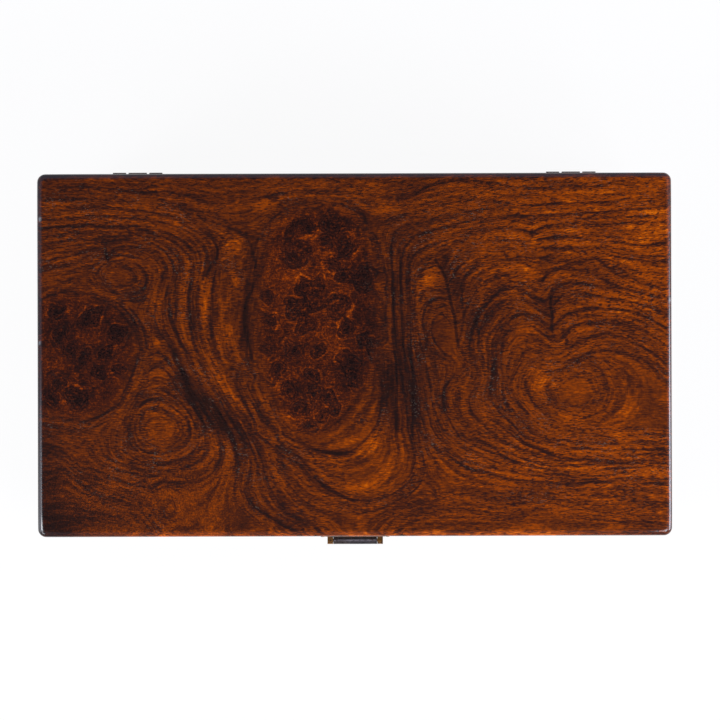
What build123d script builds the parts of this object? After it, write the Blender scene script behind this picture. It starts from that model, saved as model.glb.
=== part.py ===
from build123d import *
import math
import os

os.makedirs("parts", exist_ok=True)

# A hinged hardwood box for papers and keepsakes, closed, in millimetres.
# X runs across the front, Y from the front to the back, Z up.
# The origin is the middle of the underside.

# Overall sizes of the wooden box
box_length = 400.0
box_depth = 229.0
box_height = 146.0
lid_height = 45.0
wall_thickness = 10.0
corner_radius = 5.0
seam_gap = 0.2

# Top board of the lid
top_thickness = 9.0
top_edge_radius = 3.0
field_depth = 2.0
field_clearance = 0.15

# Bottom board, held by a tongue in the grooves of the four walls
bottom_thickness = 8.0
bottom_edge_radius = 1.0
tongue_thickness = 3.0
tongue_rise = 3.0
tongue_reach = 4.0
tongue_clearance = 0.15

# Beads along both sides of the seam, and the lip that stands up inside the lid
bead_height = 5.5
bead_proud = 1.2
bead_edge_radius = 1.1
lip_height = 3.0
lip_thickness = 4.8
lip_side_clearance = 0.3
lip_top_clearance = 0.5
lip_edge_chamfer = 0.4

# Round lock plate, split at the seam
lock_plate_radius = 36.0
lock_plate_thickness = 1.2
lock_plate_seam_gap = 0.4
lock_plate_edge_chamfer = 0.4
inlay_clearance = 0.25
lock_nail_circle = 31.0
lock_nail_angles = (18.0, 48.0)

# Hasp, its hinge at the top of the upper lock plate, and the eye on its tongue
hasp_hinge_rise = 27.0
hasp_barrel_radius = 2.4
hasp_barrel_length = 27.8
hasp_ear_width = 3.55
hasp_ear_gap = 0.2
hasp_wall_gap = 0.2
hasp_pin_radius = 1.0
hasp_back_gap = 0.4
hasp_thickness = 1.6
hasp_strap_height = 7.0
hasp_neck_width = 16.0
hasp_disc_radius = 13.5
hasp_disc_drop = 21.5
hasp_tongue_width = 6.4
hasp_tongue_tail = 5.5
hasp_inner_fillet = 3.0
hasp_outer_fillet = 1.2

# Loops and eye that take the shackle of a padlock
shackle_hole_radius = 2.4
shackle_hole_drop = 20.0
shackle_clearance = 0.2
loop_rim = 2.0
loop_thickness = 3.2
loop_side_gap = 0.5
loop_shank_height = 4.0
shank_clearance = 0.05
clinch_thickness = 0.9
clinch_reach = 9.0
eye_thickness = 4.6
eye_tenon_width = 2.4
eye_tenon_height = 3.0

# Back hinges
hinge_spacing = 282.0
hinge_width = 32.0
hinge_leaf_height = 24.0
hinge_leaf_thickness = 1.2
hinge_leaf_corner = 4.0
hinge_barrel_radius = 2.2
hinge_wall_gap = 0.2
hinge_leaf_clearance = 0.3
hinge_centre_knuckle = 15.0
hinge_knuckle_gap = 0.15
hinge_pin_radius = 1.1
hinge_nail_spread = 20.0
hinge_nail_rows = (8.5, 18.5)
lid_opening = 105.0
stop_tooth_angle = 60.0
stop_tooth_start = -109.0
stop_tooth_length = 1.5
stop_slack = 1.0

# Fits and nails
pin_clearance = 0.05
nail_radius = 0.8
nail_length = 8.0
nail_head_radius = 1.8
nail_head_height = 0.9
nail_head_edge = 0.85
nail_clearance = 0.03

# How far a cut runs past the faces that it opens
cut_overrun = 1.0

# Places worked out from the sizes above
front_face = -box_depth / 2
back_face = box_depth / 2
seam_height = box_height - lid_height
lid_bottom = seam_height + seam_gap
seam_middle = seam_height + seam_gap / 2
top_underside = box_height - top_thickness
inner_length = box_length - 2 * wall_thickness
inner_depth = box_depth - 2 * wall_thickness
lock_face = front_face - lock_plate_thickness
hasp_axis_y = lock_face - hasp_wall_gap - hasp_barrel_radius
hasp_axis_z = seam_middle + hasp_hinge_rise
hasp_back = lock_face - hasp_back_gap
hasp_front = hasp_back - hasp_thickness
shackle_y = hasp_front - shackle_clearance - shackle_hole_radius
shackle_z = seam_middle - shackle_hole_drop
loop_radius = shackle_hole_radius + loop_rim
loop_offset = hasp_tongue_width / 2 + loop_side_gap + loop_thickness / 2
leaf_face = back_face + hinge_leaf_thickness
hinge_axis_y = back_face + hinge_wall_gap + hinge_barrel_radius
hinge_axis_z = seam_middle
hinge_leaf_start = hinge_barrel_radius + hinge_leaf_clearance


def block(x_low, x_high, y_low, y_high, z_low, z_high):
    """A square-cornered block between two opposite corners."""
    size = Box(x_high - x_low, y_high - y_low, z_high - z_low)
    return Pos((x_low + x_high) / 2, (y_low + y_high) / 2, (z_low + z_high) / 2) * size


def plan_block(length, depth, radius, z_low, z_high):
    """A block over the middle of the box whose four upright corners are rounded."""
    outline = RectangleRounded(length, depth, radius)
    return Pos(0, 0, z_low) * extrude(outline, amount=z_high - z_low)


def rod_x(radius, x_low, x_high, y, z):
    """A round bar that lies along X."""
    bar = Rotation(0, 90, 0) * Cylinder(radius, x_high - x_low)
    return Pos((x_low + x_high) / 2, y, z) * bar


def rod_y(radius, x, y_low, y_high, z):
    """A round bar that lies along Y."""
    bar = Rotation(90, 0, 0) * Cylinder(radius, y_high - y_low)
    return Pos(x, (y_low + y_high) / 2, z) * bar


def bead_band(z_low, z_high):
    """The rounded moulding that runs all round the box beside the seam, as a full block."""
    band = plan_block(
        box_length + 2 * bead_proud,
        box_depth + 2 * bead_proud,
        corner_radius + bead_proud,
        z_low,
        z_high,
    )
    rims = band.edges().group_by(Axis.Z)
    return fillet(rims[0] + rims[-1], radius=bead_edge_radius)


def mitred_sides(ring):
    """Cuts a four-sided ring at its mitred corners into front, back, left and right."""
    out_x = box_length / 2 + wall_thickness
    out_y = box_depth / 2 + wall_thickness
    in_x = box_length / 2 - 2 * wall_thickness
    in_y = box_depth / 2 - 2 * wall_thickness
    front = [(-out_x, -out_y), (out_x, -out_y), (in_x, -in_y), (-in_x, -in_y)]
    right = [(out_x, -out_y), (out_x, out_y), (in_x, in_y), (in_x, -in_y)]
    regions = {
        "front": front,
        "back": [(-x, -y) for x, y in front],
        "right": right,
        "left": [(-x, -y) for x, y in right],
    }
    sides = {}
    for side, corners in regions.items():
        prism = extrude(Polygon(*corners, align=None), amount=2 * box_height)
        sides[side] = ring & prism
    return sides


def lock_nail_places(sign):
    """X and Z of the nails of one half of the lock plate, above the seam for sign 1."""
    places = []
    for angle in lock_nail_angles:
        for turned in (angle, 180 - angle):
            x = lock_nail_circle * math.cos(math.radians(turned))
            rise = lock_nail_circle * math.sin(math.radians(turned))
            places.append((x, seam_middle + sign * rise))
    return places


def hinge_centres():
    """X of the middle of each hinge, left then right."""
    return (-hinge_spacing / 2, hinge_spacing / 2)


def hinge_nail_places(sign):
    """X and Z of the nails of both hinges' leaves, above the seam for sign 1."""
    places = []
    for centre in hinge_centres():
        for row in hinge_nail_rows:
            for side in (-1, 1):
                places.append((centre + side * hinge_nail_spread / 2, hinge_axis_z + sign * row))
    return places


def nail_holes(places, head_face, inward):
    """Bores for nails whose heads sit on a face at Y; inward is 1 or -1 along Y."""
    depth = nail_length + nail_clearance
    bores = []
    for x, z in places:
        ends = sorted((head_face - inward * cut_overrun, head_face + inward * depth))
        bores.append(rod_y(nail_radius + nail_clearance, x, ends[0], ends[1], z))
    return bores


def nails(places, head_face, inward):
    """Round-headed nails whose heads sit on a face at Y."""
    solids = []
    for x, z in places:
        head_ends = sorted((head_face, head_face - inward * nail_head_height))
        head = rod_y(nail_head_radius, x, head_ends[0], head_ends[1], z)
        outer_rim = head.edges().sort_by(Axis.Y)[-1 if inward < 0 else 0]
        head = fillet(outer_rim, radius=nail_head_edge)
        shank_ends = sorted((head_face, head_face + inward * nail_length))
        solids.append(head + rod_y(nail_radius, x, shank_ends[0], shank_ends[1], z))
    return solids


def lock_plate_recess():
    """The round place that the lock plate takes out of the beads."""
    radius = lock_plate_radius + inlay_clearance
    return rod_y(radius, 0, front_face - 2 * bead_proud, front_face, seam_middle)


def hinge_recesses():
    """The square places that the hinge leaves and barrels take out of the beads."""
    half = hinge_width / 2 + inlay_clearance
    reach = hinge_leaf_height + inlay_clearance
    recesses = []
    for centre in hinge_centres():
        recesses.append(
            block(
                centre - half,
                centre + half,
                back_face,
                back_face + 2 * bead_proud,
                hinge_axis_z - reach,
                hinge_axis_z + reach,
            )
        )
    return recesses


def shank_slots(clearance):
    """Slots for the two loops' shanks, from the lock plate right through the front wall."""
    half_width = loop_thickness / 2 + clearance
    half_height = loop_shank_height / 2 + clearance
    slots = []
    for side in (-1, 1):
        slots.append(
            block(
                side * loop_offset - half_width,
                side * loop_offset + half_width,
                lock_face - cut_overrun,
                front_face + wall_thickness + cut_overrun,
                shackle_z - half_height,
                shackle_z + half_height,
            )
        )
    return slots


def case_walls():
    """The four walls of the lower part, with their bead, lip and groove."""
    outside = plan_block(box_length, box_depth, corner_radius, 0, seam_height)
    outside = fillet(outside.edges().group_by(Axis.Z)[0], radius=bottom_edge_radius)
    outside += bead_band(seam_height - bead_height, seam_height)
    lip_length = inner_length + 2 * lip_thickness
    lip_depth = inner_depth + 2 * lip_thickness
    lip = block(
        -lip_length / 2,
        lip_length / 2,
        -lip_depth / 2,
        lip_depth / 2,
        seam_height,
        seam_height + lip_height,
    )
    lip = chamfer(lip.edges().group_by(Axis.Z)[-1], length=lip_edge_chamfer)
    hollow = block(
        -inner_length / 2,
        inner_length / 2,
        -inner_depth / 2,
        inner_depth / 2,
        -cut_overrun,
        box_height,
    )
    groove_reach = tongue_reach + tongue_clearance
    groove = block(
        -inner_length / 2 - groove_reach,
        inner_length / 2 + groove_reach,
        -inner_depth / 2 - groove_reach,
        inner_depth / 2 + groove_reach,
        tongue_rise,
        tongue_rise + tongue_thickness,
    )
    ring = outside + lip - hollow - groove - lock_plate_recess() - hinge_recesses()
    ring -= shank_slots(shank_clearance)
    ring -= nail_holes(lock_nail_places(-1), lock_face, 1)
    ring -= nail_holes(hinge_nail_places(-1), leaf_face, -1)
    return mitred_sides(ring)


def bottom_board():
    """The bottom board, flush with the walls' undersides, with a tongue all round."""
    half_length = inner_length / 2
    half_depth = inner_depth / 2
    board = block(-half_length, half_length, -half_depth, half_depth, 0, bottom_thickness)
    tongue = block(
        -half_length - tongue_reach,
        half_length + tongue_reach,
        -half_depth - tongue_reach,
        half_depth + tongue_reach,
        tongue_rise,
        tongue_rise + tongue_thickness,
    )
    return board + tongue


def lid_rails():
    """The four rails of the lid, with their bead and the rebate that drops over the lip."""
    outside = plan_block(box_length, box_depth, corner_radius, lid_bottom, top_underside)
    outside += bead_band(lid_bottom, lid_bottom + bead_height)
    hollow = block(
        -inner_length / 2,
        inner_length / 2,
        -inner_depth / 2,
        inner_depth / 2,
        0,
        box_height,
    )
    rebate_reach = lip_thickness + lip_side_clearance
    rebate = block(
        -inner_length / 2 - rebate_reach,
        inner_length / 2 + rebate_reach,
        -inner_depth / 2 - rebate_reach,
        inner_depth / 2 + rebate_reach,
        0,
        seam_height + lip_height + lip_top_clearance,
    )
    ring = outside - hollow - rebate - lock_plate_recess() - hinge_recesses()
    ring -= nail_holes(lock_nail_places(1), lock_face, 1)
    ring -= nail_holes(hinge_nail_places(1), leaf_face, -1)
    return mitred_sides(ring)


def lid_top_board():
    """The top board: full plan size, round over its upper edges, a field inside the rails."""
    board = plan_block(box_length, box_depth, corner_radius, top_underside, box_height)
    board = fillet(board.edges().group_by(Axis.Z)[-1], radius=top_edge_radius)
    half_length = inner_length / 2 - field_clearance
    half_depth = inner_depth / 2 - field_clearance
    field = block(
        -half_length,
        half_length,
        -half_depth,
        half_depth,
        top_underside - field_depth,
        top_underside,
    )
    return board + field


def half_lock_plate(sign):
    """Half of the round lock plate, above the seam for sign 1 and below it for sign -1."""
    disc = rod_y(lock_plate_radius, 0, lock_face, front_face, seam_middle)
    disc = chamfer(disc.edges().sort_by(Axis.Y)[0], length=lock_plate_edge_chamfer)
    ends = sorted((lock_plate_seam_gap / 2, 2 * lock_plate_radius))
    z_ends = sorted((seam_middle + sign * ends[0], seam_middle + sign * ends[1]))
    half = block(
        -2 * lock_plate_radius,
        2 * lock_plate_radius,
        2 * front_face,
        0,
        z_ends[0],
        z_ends[1],
    )
    plate = disc & half
    return plate - nail_holes(lock_nail_places(sign), lock_face, 1)


def upper_lock_plate():
    """The lid's half of the lock plate, with the two ears that hold the hasp's pin."""
    plate = half_lock_plate(1)
    inner = hasp_barrel_length / 2 + hasp_ear_gap
    for side in (-1, 1):
        x_low, x_high = sorted((side * inner, side * (inner + hasp_ear_width)))
        plate += rod_x(hasp_barrel_radius, x_low, x_high, hasp_axis_y, hasp_axis_z)
        plate += block(
            x_low,
            x_high,
            hasp_axis_y,
            front_face - lock_plate_thickness / 2,
            hasp_axis_z - hasp_barrel_radius,
            hasp_axis_z + hasp_barrel_radius,
        )
    reach = inner + hasp_ear_width + cut_overrun
    bore = rod_x(hasp_pin_radius + pin_clearance, -reach, reach, hasp_axis_y, hasp_axis_z)
    return plate - bore


def lower_lock_plate():
    """The case's half of the lock plate, pierced for the loops' shanks."""
    return half_lock_plate(-1) - shank_slots(shank_clearance)


def hasp_outline():
    """The hasp's outline, seen from the front, with its hinge line at Y = 0."""
    drop = hasp_axis_z - shackle_z
    strap = Pos(0, -hasp_strap_height / 2) * Rectangle(hasp_barrel_length, hasp_strap_height)
    neck = Pos(0, -hasp_disc_drop / 2) * Rectangle(hasp_neck_width, hasp_disc_drop)
    disc = Pos(0, -hasp_disc_drop) * Circle(hasp_disc_radius)
    tongue_length = drop + hasp_tongue_tail - hasp_disc_drop
    tongue = Pos(0, -hasp_disc_drop - tongue_length / 2) * Rectangle(
        hasp_tongue_width, tongue_length
    )
    outline = strap + neck + disc + tongue
    outline = offset(outline, amount=hasp_inner_fillet, kind=Kind.ARC)
    outline = offset(outline, amount=-hasp_inner_fillet - hasp_outer_fillet, kind=Kind.ARC)
    return offset(outline, amount=hasp_outer_fillet, kind=Kind.ARC)


def hasp_plate():
    """The hasp: its plate, the barrel that it hangs from, and the hole for the eye's tenon."""
    face = Plane(origin=(0, hasp_back, hasp_axis_z), x_dir=(1, 0, 0), z_dir=(0, -1, 0))
    plate = extrude(face * hasp_outline(), amount=hasp_thickness)
    half_barrel = hasp_barrel_length / 2
    plate += rod_x(hasp_barrel_radius, -half_barrel, half_barrel, hasp_axis_y, hasp_axis_z)
    plate -= rod_x(
        hasp_pin_radius + pin_clearance,
        -half_barrel - cut_overrun,
        half_barrel + cut_overrun,
        hasp_axis_y,
        hasp_axis_z,
    )
    return plate - eye_tenon(shank_clearance, cut_overrun)


def hasp_pin():
    """The pin through the two ears and the hasp's barrel."""
    half = hasp_barrel_length / 2 + hasp_ear_gap + hasp_ear_width
    return rod_x(hasp_pin_radius, -half, half, hasp_axis_y, hasp_axis_z)


def ring_lug(x_middle, thickness, foot_y):
    """A round-ended lug with the shackle hole, standing out of a face at foot_y."""
    x_low = x_middle - thickness / 2
    x_high = x_middle + thickness / 2
    lug = rod_x(loop_radius, x_low, x_high, shackle_y, shackle_z)
    lug += block(
        x_low, x_high, shackle_y, foot_y, shackle_z - loop_radius, shackle_z + loop_radius
    )
    behind = block(
        x_low - cut_overrun,
        x_high + cut_overrun,
        foot_y,
        foot_y + 2 * loop_radius,
        shackle_z - 2 * loop_radius,
        shackle_z + 2 * loop_radius,
    )
    hole = rod_x(
        shackle_hole_radius, x_low - cut_overrun, x_high + cut_overrun, shackle_y, shackle_z
    )
    return lug - behind - hole


def eye_tenon(clearance, overrun):
    """The tenon that rivets the eye to the hasp's tongue."""
    return block(
        -eye_tenon_width / 2 - clearance,
        eye_tenon_width / 2 + clearance,
        hasp_front - overrun,
        hasp_back + overrun,
        shackle_z - eye_tenon_height / 2 - clearance,
        shackle_z + eye_tenon_height / 2 + clearance,
    )


def hasp_eye():
    """The eye on the hasp's tongue, which hangs between the two loops."""
    return ring_lug(0, eye_thickness, hasp_front) + eye_tenon(0, 0)


def lock_loop(side):
    """A loop on the lower lock plate, with its shank clinched against the inside of the wall."""
    middle = side * loop_offset
    inside = front_face + wall_thickness
    x_low = middle - loop_thickness / 2
    x_high = middle + loop_thickness / 2
    shank = block(
        x_low,
        x_high,
        lock_face,
        inside,
        shackle_z - loop_shank_height / 2,
        shackle_z + loop_shank_height / 2,
    )
    clinch = block(
        x_low,
        x_high,
        inside,
        inside + clinch_thickness,
        shackle_z - clinch_reach,
        shackle_z + clinch_reach,
    )
    return ring_lug(middle, loop_thickness, lock_face) + shank + clinch


def hinge_leaf_plate(centre, sign):
    """The flat of a hinge leaf, above the seam for sign 1, with its nail holes."""
    near = hinge_leaf_start
    far = hinge_leaf_height
    z_low, z_high = sorted((hinge_axis_z + sign * near, hinge_axis_z + sign * far))
    plate = block(
        centre - hinge_width / 2,
        centre + hinge_width / 2,
        back_face,
        leaf_face,
        z_low,
        z_high,
    )
    upright = plate.edges().filter_by(Axis.Y).group_by(Axis.Z)[-1 if sign > 0 else 0]
    plate = fillet(upright, radius=hinge_leaf_corner)
    return plate - nail_holes(hinge_nail_places(sign), leaf_face, -1)


def knuckle(x_low, x_high, sign):
    """One knuckle of a hinge, with the web that joins it to its leaf."""
    barrel = rod_x(hinge_barrel_radius, x_low, x_high, hinge_axis_y, hinge_axis_z)
    z_low, z_high = sorted((hinge_axis_z, hinge_axis_z + sign * hinge_leaf_start))
    return barrel + block(x_low, x_high, back_face, hinge_axis_y, z_low, z_high)


def pin_bore(centre):
    """The running bore for a hinge's pin."""
    half = hinge_width / 2 + cut_overrun
    radius = hinge_pin_radius + pin_clearance
    return rod_x(radius, centre - half, centre + half, hinge_axis_y, hinge_axis_z)


def barrel_sector(x_low, x_high, start, sweep):
    """A wedge of the hinge barrel between two angles, counted from +Y towards +Z."""
    reach = 2 * hinge_barrel_radius
    corners = [(0.0, 0.0)]
    steps = 6
    for step in range(steps + 1):
        angle = math.radians(start + sweep * step / steps)
        corners.append((reach * math.cos(angle), reach * math.sin(angle)))
    face = Plane(origin=(x_low, hinge_axis_y, hinge_axis_z), x_dir=(0, 1, 0), z_dir=(1, 0, 0))
    wedge = extrude(face * Polygon(*corners, align=None), amount=x_high - x_low)
    return wedge & rod_x(hinge_barrel_radius, x_low, x_high, hinge_axis_y, hinge_axis_z)


def lid_hinge_leaf(centre):
    """The lid's leaf: one middle knuckle, notched at both ends for the stop teeth."""
    half = hinge_centre_knuckle / 2
    leaf = hinge_leaf_plate(centre, 1) + knuckle(centre - half, centre + half, 1)
    notch = stop_tooth_length + hinge_knuckle_gap
    start = stop_tooth_start - stop_slack
    sweep = stop_tooth_angle + lid_opening + 2 * stop_slack
    for side in (-1, 1):
        x_low, x_high = sorted((centre + side * half, centre + side * (half - notch)))
        leaf -= barrel_sector(x_low, x_high, start, sweep)
    return leaf - pin_bore(centre)


def case_hinge_leaf(centre):
    """The case's leaf: two outer knuckles, each with a tooth that stops the lid."""
    leaf = hinge_leaf_plate(centre, -1)
    inner = hinge_centre_knuckle / 2 + hinge_knuckle_gap
    outer = hinge_width / 2
    for side in (-1, 1):
        x_low, x_high = sorted((centre + side * inner, centre + side * outer))
        leaf += knuckle(x_low, x_high, -1)
        tooth_end = inner - stop_tooth_length
        x_low, x_high = sorted((centre + side * inner, centre + side * tooth_end))
        leaf += barrel_sector(x_low, x_high, stop_tooth_start, stop_tooth_angle)
    return leaf - pin_bore(centre)


def hinge_pin(centre):
    """A hinge's pin, as long as the hinge is wide."""
    half = hinge_width / 2
    return rod_x(hinge_pin_radius, centre - half, centre + half, hinge_axis_y, hinge_axis_z)


def all_pieces():
    """Every piece of the box by its name, each a list of one or more solids."""
    pieces = {}
    for side, wall in case_walls().items():
        pieces[f"case_{side}_wall"] = wall
    for side, rail in lid_rails().items():
        pieces[f"lid_{side}_rail"] = rail
    pieces["bottom_board"] = bottom_board()
    pieces["lid_top_board"] = lid_top_board()
    pieces["upper_lock_plate"] = upper_lock_plate()
    pieces["lower_lock_plate"] = lower_lock_plate()
    pieces["hasp_plate"] = hasp_plate()
    pieces["hasp_eye"] = hasp_eye()
    pieces["hasp_pin"] = hasp_pin()
    pieces["lock_loop_left"] = lock_loop(-1)
    pieces["lock_loop_right"] = lock_loop(1)
    for name, centre in zip(("left", "right"), hinge_centres()):
        pieces[f"{name}_hinge_lid_leaf"] = lid_hinge_leaf(centre)
        pieces[f"{name}_hinge_case_leaf"] = case_hinge_leaf(centre)
        pieces[f"{name}_hinge_pin"] = hinge_pin(centre)
    pieces["upper_lock_plate_nails"] = nails(lock_nail_places(1), lock_face, 1)
    pieces["lower_lock_plate_nails"] = nails(lock_nail_places(-1), lock_face, 1)
    pieces["lid_leaf_nails"] = nails(hinge_nail_places(1), leaf_face, -1)
    pieces["case_leaf_nails"] = nails(hinge_nail_places(-1), leaf_face, -1)
    return pieces


for piece_name, piece in all_pieces().items():
    solids = piece if isinstance(piece, list) else [piece]
    bodies = [solid for item in solids for solid in item.solids()]
    shape = bodies[0] if len(bodies) == 1 else Compound(bodies)
    export_step(shape, f"parts/{piece_name}.step")
    print(piece_name, len(bodies), round(sum(body.volume for body in bodies), 1))
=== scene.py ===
import math

import bmesh
import bpy
import numpy as np
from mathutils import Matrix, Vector


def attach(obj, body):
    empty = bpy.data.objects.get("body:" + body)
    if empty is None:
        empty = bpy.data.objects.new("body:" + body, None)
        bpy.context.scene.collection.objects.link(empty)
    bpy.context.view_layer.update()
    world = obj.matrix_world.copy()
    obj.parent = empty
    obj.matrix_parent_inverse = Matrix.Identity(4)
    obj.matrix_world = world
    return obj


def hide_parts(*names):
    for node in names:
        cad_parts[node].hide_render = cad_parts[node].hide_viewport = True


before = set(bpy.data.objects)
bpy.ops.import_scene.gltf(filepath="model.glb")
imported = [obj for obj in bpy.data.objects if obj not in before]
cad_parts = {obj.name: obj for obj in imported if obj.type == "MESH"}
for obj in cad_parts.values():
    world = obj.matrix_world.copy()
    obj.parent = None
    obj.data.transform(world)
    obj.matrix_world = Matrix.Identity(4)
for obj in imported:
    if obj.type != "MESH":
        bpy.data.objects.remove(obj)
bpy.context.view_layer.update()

# The photo looks straight down on the lid; this turns its pixels into places on the lid
photo = {
    "pixel": 0.000631,  # metres on the lid for one pixel
    "lidMiddle": (354.7, 354.7),
    "roll": 0.17,  # degrees, the box lies turned a little to the left
}


def toPixels(x, y):
    turn = math.radians(photo["roll"])
    across = (x * math.cos(turn) - y * math.sin(turn)) / photo["pixel"]
    up = (x * math.sin(turn) + y * math.cos(turn)) / photo["pixel"]
    return photo["lidMiddle"][0] + across, photo["lidMiddle"][1] - up


# Small helpers for node trees


def addNode(tree, kind, values=None, **settings):
    made = tree.nodes.new(kind)
    for name, value in settings.items():
        setattr(made, name, value)
    for name, value in (values or {}).items():
        plug(tree, made.inputs[name], value)
    return made


def plug(tree, socket, value):
    if isinstance(value, bpy.types.NodeSocket):
        tree.links.new(value, socket)
    else:
        socket.default_value = value


def calc(tree, operation, *values, clamp=False):
    values = dict(enumerate(values))
    return addNode(tree, "ShaderNodeMath", values, operation=operation, use_clamp=clamp).outputs[0]


def times(tree, first, *others):
    for value in others:
        first = calc(tree, "MULTIPLY", first, value)
    return first


def largest(tree, first, *others):
    for value in others:
        first = calc(tree, "MAXIMUM", first, value)
    return first


def minus(tree, first, second):
    return calc(tree, "SUBTRACT", first, second)


def addTo(tree, total, value, strength):
    # total plus value times strength
    return calc(tree, "MULTIPLY_ADD", value, strength, total)


def addNoise(tree, total, value, strength):
    # the same for a noise, which swings about its middle
    return addTo(tree, total, minus(tree, value, 0.5), strength)


def farFrom(tree, value, middle):
    return calc(tree, "ABSOLUTE", minus(tree, value, middle))


def vectorCalc(tree, operation, *values, scale=None):
    values = dict(enumerate(values))
    if scale is not None:
        values["Scale"] = scale
    return addNode(tree, "ShaderNodeVectorMath", values, operation=operation).outputs[0]


def remap(tree, value, low, high, newLow=0.0, newHigh=1.0, smooth=True):
    values = {"Value": value, "From Min": low, "From Max": high, "To Min": newLow, "To Max": newHigh}
    kind = "SMOOTHSTEP" if smooth else "LINEAR"
    return addNode(tree, "ShaderNodeMapRange", values, interpolation_type=kind, clamp=True).outputs[0]


def fade(tree, value, start, end):
    # 1 up to start, 0 from end on
    return remap(tree, value, start, end, 1.0, 0.0)


def within(tree, part, outside, inside):
    # one number where part is 0, another where it is 1
    return remap(tree, part, 0, 1, outside, inside)


def noise(tree, vector, scale=1.0, detail=2.0, roughness=0.5, distortion=0.0):
    values = {
        "Vector": vector,
        "Scale": scale,
        "Detail": detail,
        "Roughness": roughness,
        "Distortion": distortion,
    }
    return addNode(tree, "ShaderNodeTexNoise", values).outputs["Fac"]


def stretch(tree, vector, scales, shift=(0.0, 0.0, 0.0)):
    values = {"Vector": vector, "Location": shift, "Scale": scales}
    return addNode(tree, "ShaderNodeMapping", values).outputs[0]


def join(tree, x, y, z):
    return addNode(tree, "ShaderNodeCombineXYZ", {"X": x, "Y": y, "Z": z}).outputs[0]


def split(tree, vector):
    return tuple(addNode(tree, "ShaderNodeSeparateXYZ", {"Vector": vector}).outputs)


def blendColour(tree, amount, first, second, kind="MIX"):
    values = {0: amount, 6: first, 7: second}
    made = addNode(tree, "ShaderNodeMix", values, data_type="RGBA", blend_type=kind)
    return made.outputs[2]


def ramp(tree, value, stops):
    made = addNode(tree, "ShaderNodeValToRGB", {"Fac": value})
    keys = made.color_ramp.elements
    keys[0].position, keys[0].color = stops[0][0], rgb(stops[0][1])
    keys[1].position, keys[1].color = stops[-1][0], rgb(stops[-1][1])
    for place, colour in stops[1:-1]:
        keys.new(place).color = rgb(colour)
    return made.outputs[0]


def rgb(colour):
    # 0 to 255 as seen on screen, to the linear colour that a shader takes
    linear = [(c / 255 / 12.92) if c <= 10 else ((c / 255 + 0.055) / 1.055) ** 2.4 for c in colour]
    return (*linear, 1.0)


def newMaterial(name):
    made = bpy.data.materials.new(name)
    made.use_nodes = True
    made.node_tree.nodes.clear()
    return made, made.node_tree


def objectPlace(tree):
    return addNode(tree, "ShaderNodeTexCoord").outputs["Object"]


def attribute(tree, name):
    return addNode(tree, "ShaderNodeAttribute", attribute_name=name).outputs["Fac"]


def surface(tree, values, height, strength, distance):
    heights = {"Height": height, "Strength": strength, "Distance": distance}
    normal = addNode(tree, "ShaderNodeBump", heights).outputs[0]
    values = {**values, "Normal": normal, "Coat Normal": normal}
    finish(tree, "Material", addNode(tree, "ShaderNodeBsdfPrincipled", values))


def finish(tree, kind, shader):
    out = addNode(tree, "ShaderNodeOutput" + kind)
    tree.links.new(shader.outputs[0], out.inputs["Surface"])


def newObject(mesh):
    made = bpy.data.objects.new(mesh.name, mesh)
    bpy.context.scene.collection.objects.link(made)
    return made


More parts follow.
